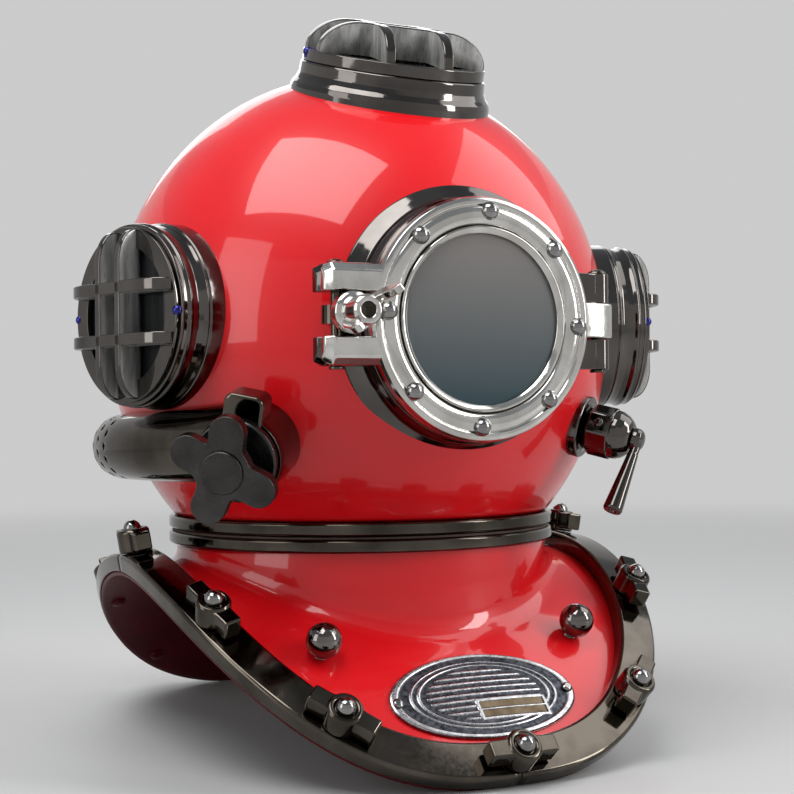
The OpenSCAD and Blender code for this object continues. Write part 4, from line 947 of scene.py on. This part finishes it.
# Spit cock
# A flanged eight-sided body with a rounded nose and a small screw in its upper face that stops the plug,
# and a tapered lever that turns the plug inside it.
flange = softened([[19, -10], [19, 3.2], [18, 4], [15, 4], [9.5, 7.6], [9, 8], [3, 8], [3, -12], [9, -12],
    [9, -8]], 0.5)
nose = softened([[5, 20], [14.2, 20], [14.8, 22], [14.5, 25], [13, 28.5], [10.5, 31.5], [8.5, 33], [5, 33]],
    0.8, closed=True)
octagon_r, stop_rise = 16.0, 14.5
octagon = arc(octagon_r, np.arange(8) * 45)
flat_turn = np.radians(247.5)
stop_way = np.array([np.cos(flat_turn), np.sin(flat_turn), 0.0]) @ cock_place[1]
stop_start = cock_place[0] + octagon_r * np.cos(np.radians(22.5)) * stop_way + stop_rise * cock_place[1][2]
stop_ways = np.stack([cock_place[1][2], np.cross(stop_way, cock_place[1][2]), stop_way])
stop_screw = softened([[0, -3], [1.5, -3], [1.5, 0.1], [2.9, 0.1], [2.7, 1.2], [1.6, 2], [0, 2.2]], 0.3)
made("spit_cock_flange", "bonnet", [soldered(flange, cock_place, 120), turned(nose, cock_place, 96),
    turned(stop_screw, (stop_start, stop_ways), 40)], [polished_black])
made("spit_cock_block", "bonnet", [prism(octagon, 7.0, 22.0, cock_place)], [polished_black],
    ["spit_cock_body"], edge=1.4)
cap = softened([[0, 33.4], [6.4, 33.4], [7, 34.2], [7, 36.6], [6, 38.8], [4, 40.1], [0, 40.6]], 0.5)
plug = softened([[0, 12], [4.95, 12], [4.95, 34], [0, 34]], 0.3)
handle = softened([[0, 0], [3, 0], [3, 9], [3.3, 10], [5.9, 46.6], [5.2, 48], [2.4, 48], [2, 46.5],
    [0, 46.5]], 0.4)
arm_start, arm_ways = shifted(spun(cock_place, -27), 36.8)
arm_place = (arm_start, arm_ways[[1, 2, 0]])
made("spit_cock_handle", "cock_lever", [turned(cap, cock_place, 72), turned(plug, cock_place, 48),
    turned(handle, arm_place, 64)], [polished_black], ["spit_cock_lever"])

# Telephone cup
# A turned cup with a screwed lid, high on the wearer's left, that holds the speaker.
cup = softened([[34, -12], [34, 7], [32.5, 9], [26, 9], [26, -16], [30, -16]], 0.7)
made("telephone_cup", "bonnet", [soldered(cup, cup_place, 144)], [polished_black], ["transceiver_cup"])
lid = softened([[0, 9.2], [31, 9.2], [31, 11], [29.6, 13], [25.5, 13.8], [22, 15], [12, 15.6], [0, 16.2]],
    0.8)
made("telephone_lid", "bonnet", [turned(lid, cup_place, 120)], [polished_black], ["transceiver_lid"])

# Elbows
# Two cast elbows at the back take the air hose and the telephone cable. Each is a flange soldered to the
# dome, a tube bent down through a part circle, a six-sided collar and a mouth whose thread follows a cosine.
bend_r, bend_low, bend_turn = 20.0, 8.0, 62.0
thread_first, thread_last, thread_pitch, thread_r, thread_deep = 11.5, 27.2, 2.0, 12.75, 0.25
flange = softened([[19, -8], [19, 3.2], [18.2, 4], [12, 4], [12, 9], [7.9, 9], [7.9, -12], [12, -12],
    [12, -8]], 0.5)
sweep = np.radians(np.linspace(0, bend_turn, 25))[:, None]
a = np.radians(np.linspace(0, 360, 49))[None]
walls = []
for r in (11.0, 7.5):
    reach = bend_r - r * np.cos(a)
    walls.append(np.stack([bend_r - reach * np.cos(sweep), r * np.sin(a) + 0 * sweep,
        bend_low + reach * np.sin(sweep)], -1))
bend = np.concatenate([walls[0], walls[1][::-1]])
s, c = np.sin(np.radians(bend_turn)), np.cos(np.radians(bend_turn))
way, level = np.array([s, 0.0, c]), np.array([0, 1.0, 0])
start = np.array([bend_r - bend_r * c, 0.0, bend_low + bend_r * s])
threads = np.linspace(thread_first, thread_last, 120)
crest = thread_r + thread_deep * np.cos((threads - thread_first) * 2 * np.pi / thread_pitch)
barrel = np.vstack([[[7.9, -1.5], [12, -1.5], [12, 4.5], [12.6, 4.5]], np.stack([crest, threads], 1),
    [[12.2, 28], [7.9, 28], [7.9, -1.5]]])
for side, place in elbow_places.items():
    mouth = (along(start, place), np.stack([np.cross(level, way), level, way]) @ place[1])
    made(side + "_elbow_cast", "bonnet", [soldered(flange, place, 96), surface(along(bend, place)),
        turned(barrel, mouth, 64)], [black_nickel], [side + "_elbow"])
    made(side + "_elbow_collar", "bonnet", [prism(arc(16.5, np.arange(6) * 60), 4.0, 12.0, mouth)],
        [black_nickel], edge=0.9)

# Door glass
# A cast glass, domed a little outwards and clamped under the bezel, tinted dark below, with a paler grey
# above that is a painted reflection of the sky. The other windows have flat dark ones.


def window_glass(name, tones, clear):
    """Dark tinted glass, clear to a share: its colour drifts from one tone below to the other above, and a
    paler upper tone is a painted reflection of the sky.
    """
    material, tree, shader = new_material(name)
    place = wired(tree, "TexCoord", {})
    parts = wired(tree, "SeparateXYZ", {0: place.outputs["Object"]})
    height = wired(tree, "MapRange", {"Value": parts.outputs["Z"], "From Min": 0.205, "From Max": 0.30})
    wired(tree, shader, {"Transmission Weight": clear, "Roughness": 0.015, "IOR": 1.52,
        "Base Color": ramp(tree, height, tones)})
    return material


# The front glass's paler grey upper tone is a painted reflection of the sky over its dark teal tint.
front_glass = window_glass("front_glass", [(0.035, 0.085, 0.105), (0.33, 0.3, 0.285)], 0.35)
dark_glass = window_glass("dark_glass", [(0.03, 0.035, 0.04), (0.03, 0.035, 0.04)], 0.8)
lens_r, lens_face, lens_rise = 51.5, 164.6, 2.4
crown = np.linspace(1, 0, 24)[:, None]
lens = np.hstack([lens_r * crown, lens_face + lens_rise * (1 - crown ** 2)])
lens = np.vstack([[[0, 162.2], [51.2, 162.2], [51.5, 162.5]], lens])
made("door_glass_lens", "faceplate", [turned(lens, front_place, 144)], [front_glass], ["door_glass"])

# Finishes of the pieces that stay
# Gaskets, the flat glasses, screws, swing bolt, chin valve and neck latch keep the solids' own meshes, in
# the rubber, glass, blued steel, brass and black nickel that each is made of.
gasket_rubber = finish("gasket_rubber", [(0.012, 0.012, 0.013), (0.03, 0.03, 0.031)], 80, (0.5, 0.7), 900,
    0.1, metal=0)
blue_steel = finish("blue_steel", [(0.02, 0.018, 0.12), (0.05, 0.05, 0.26)], 200, (0.06, 0.12), 900)
valve_brass = finish("valve_brass", [(0.42, 0.3, 0.13), (0.55, 0.41, 0.2)], 60, (0.2, 0.32), 500, 0.02)

plain = {"frame_gasket": gasket_rubber, "door_gasket": gasket_rubber, "side_glass_left": dark_glass,
    "side_glass_right": dark_glass, "top_glass": dark_glass, "guard_screws": blue_steel,
    "chin_valve": valve_brass, "swing_bolt": black_nickel, "neck_latch": black_nickel,
    "latch_bracket": black_nickel}
for name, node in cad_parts.items():
    node.data.materials.clear()
    node.data.materials.append(plain.get(name, black_nickel))
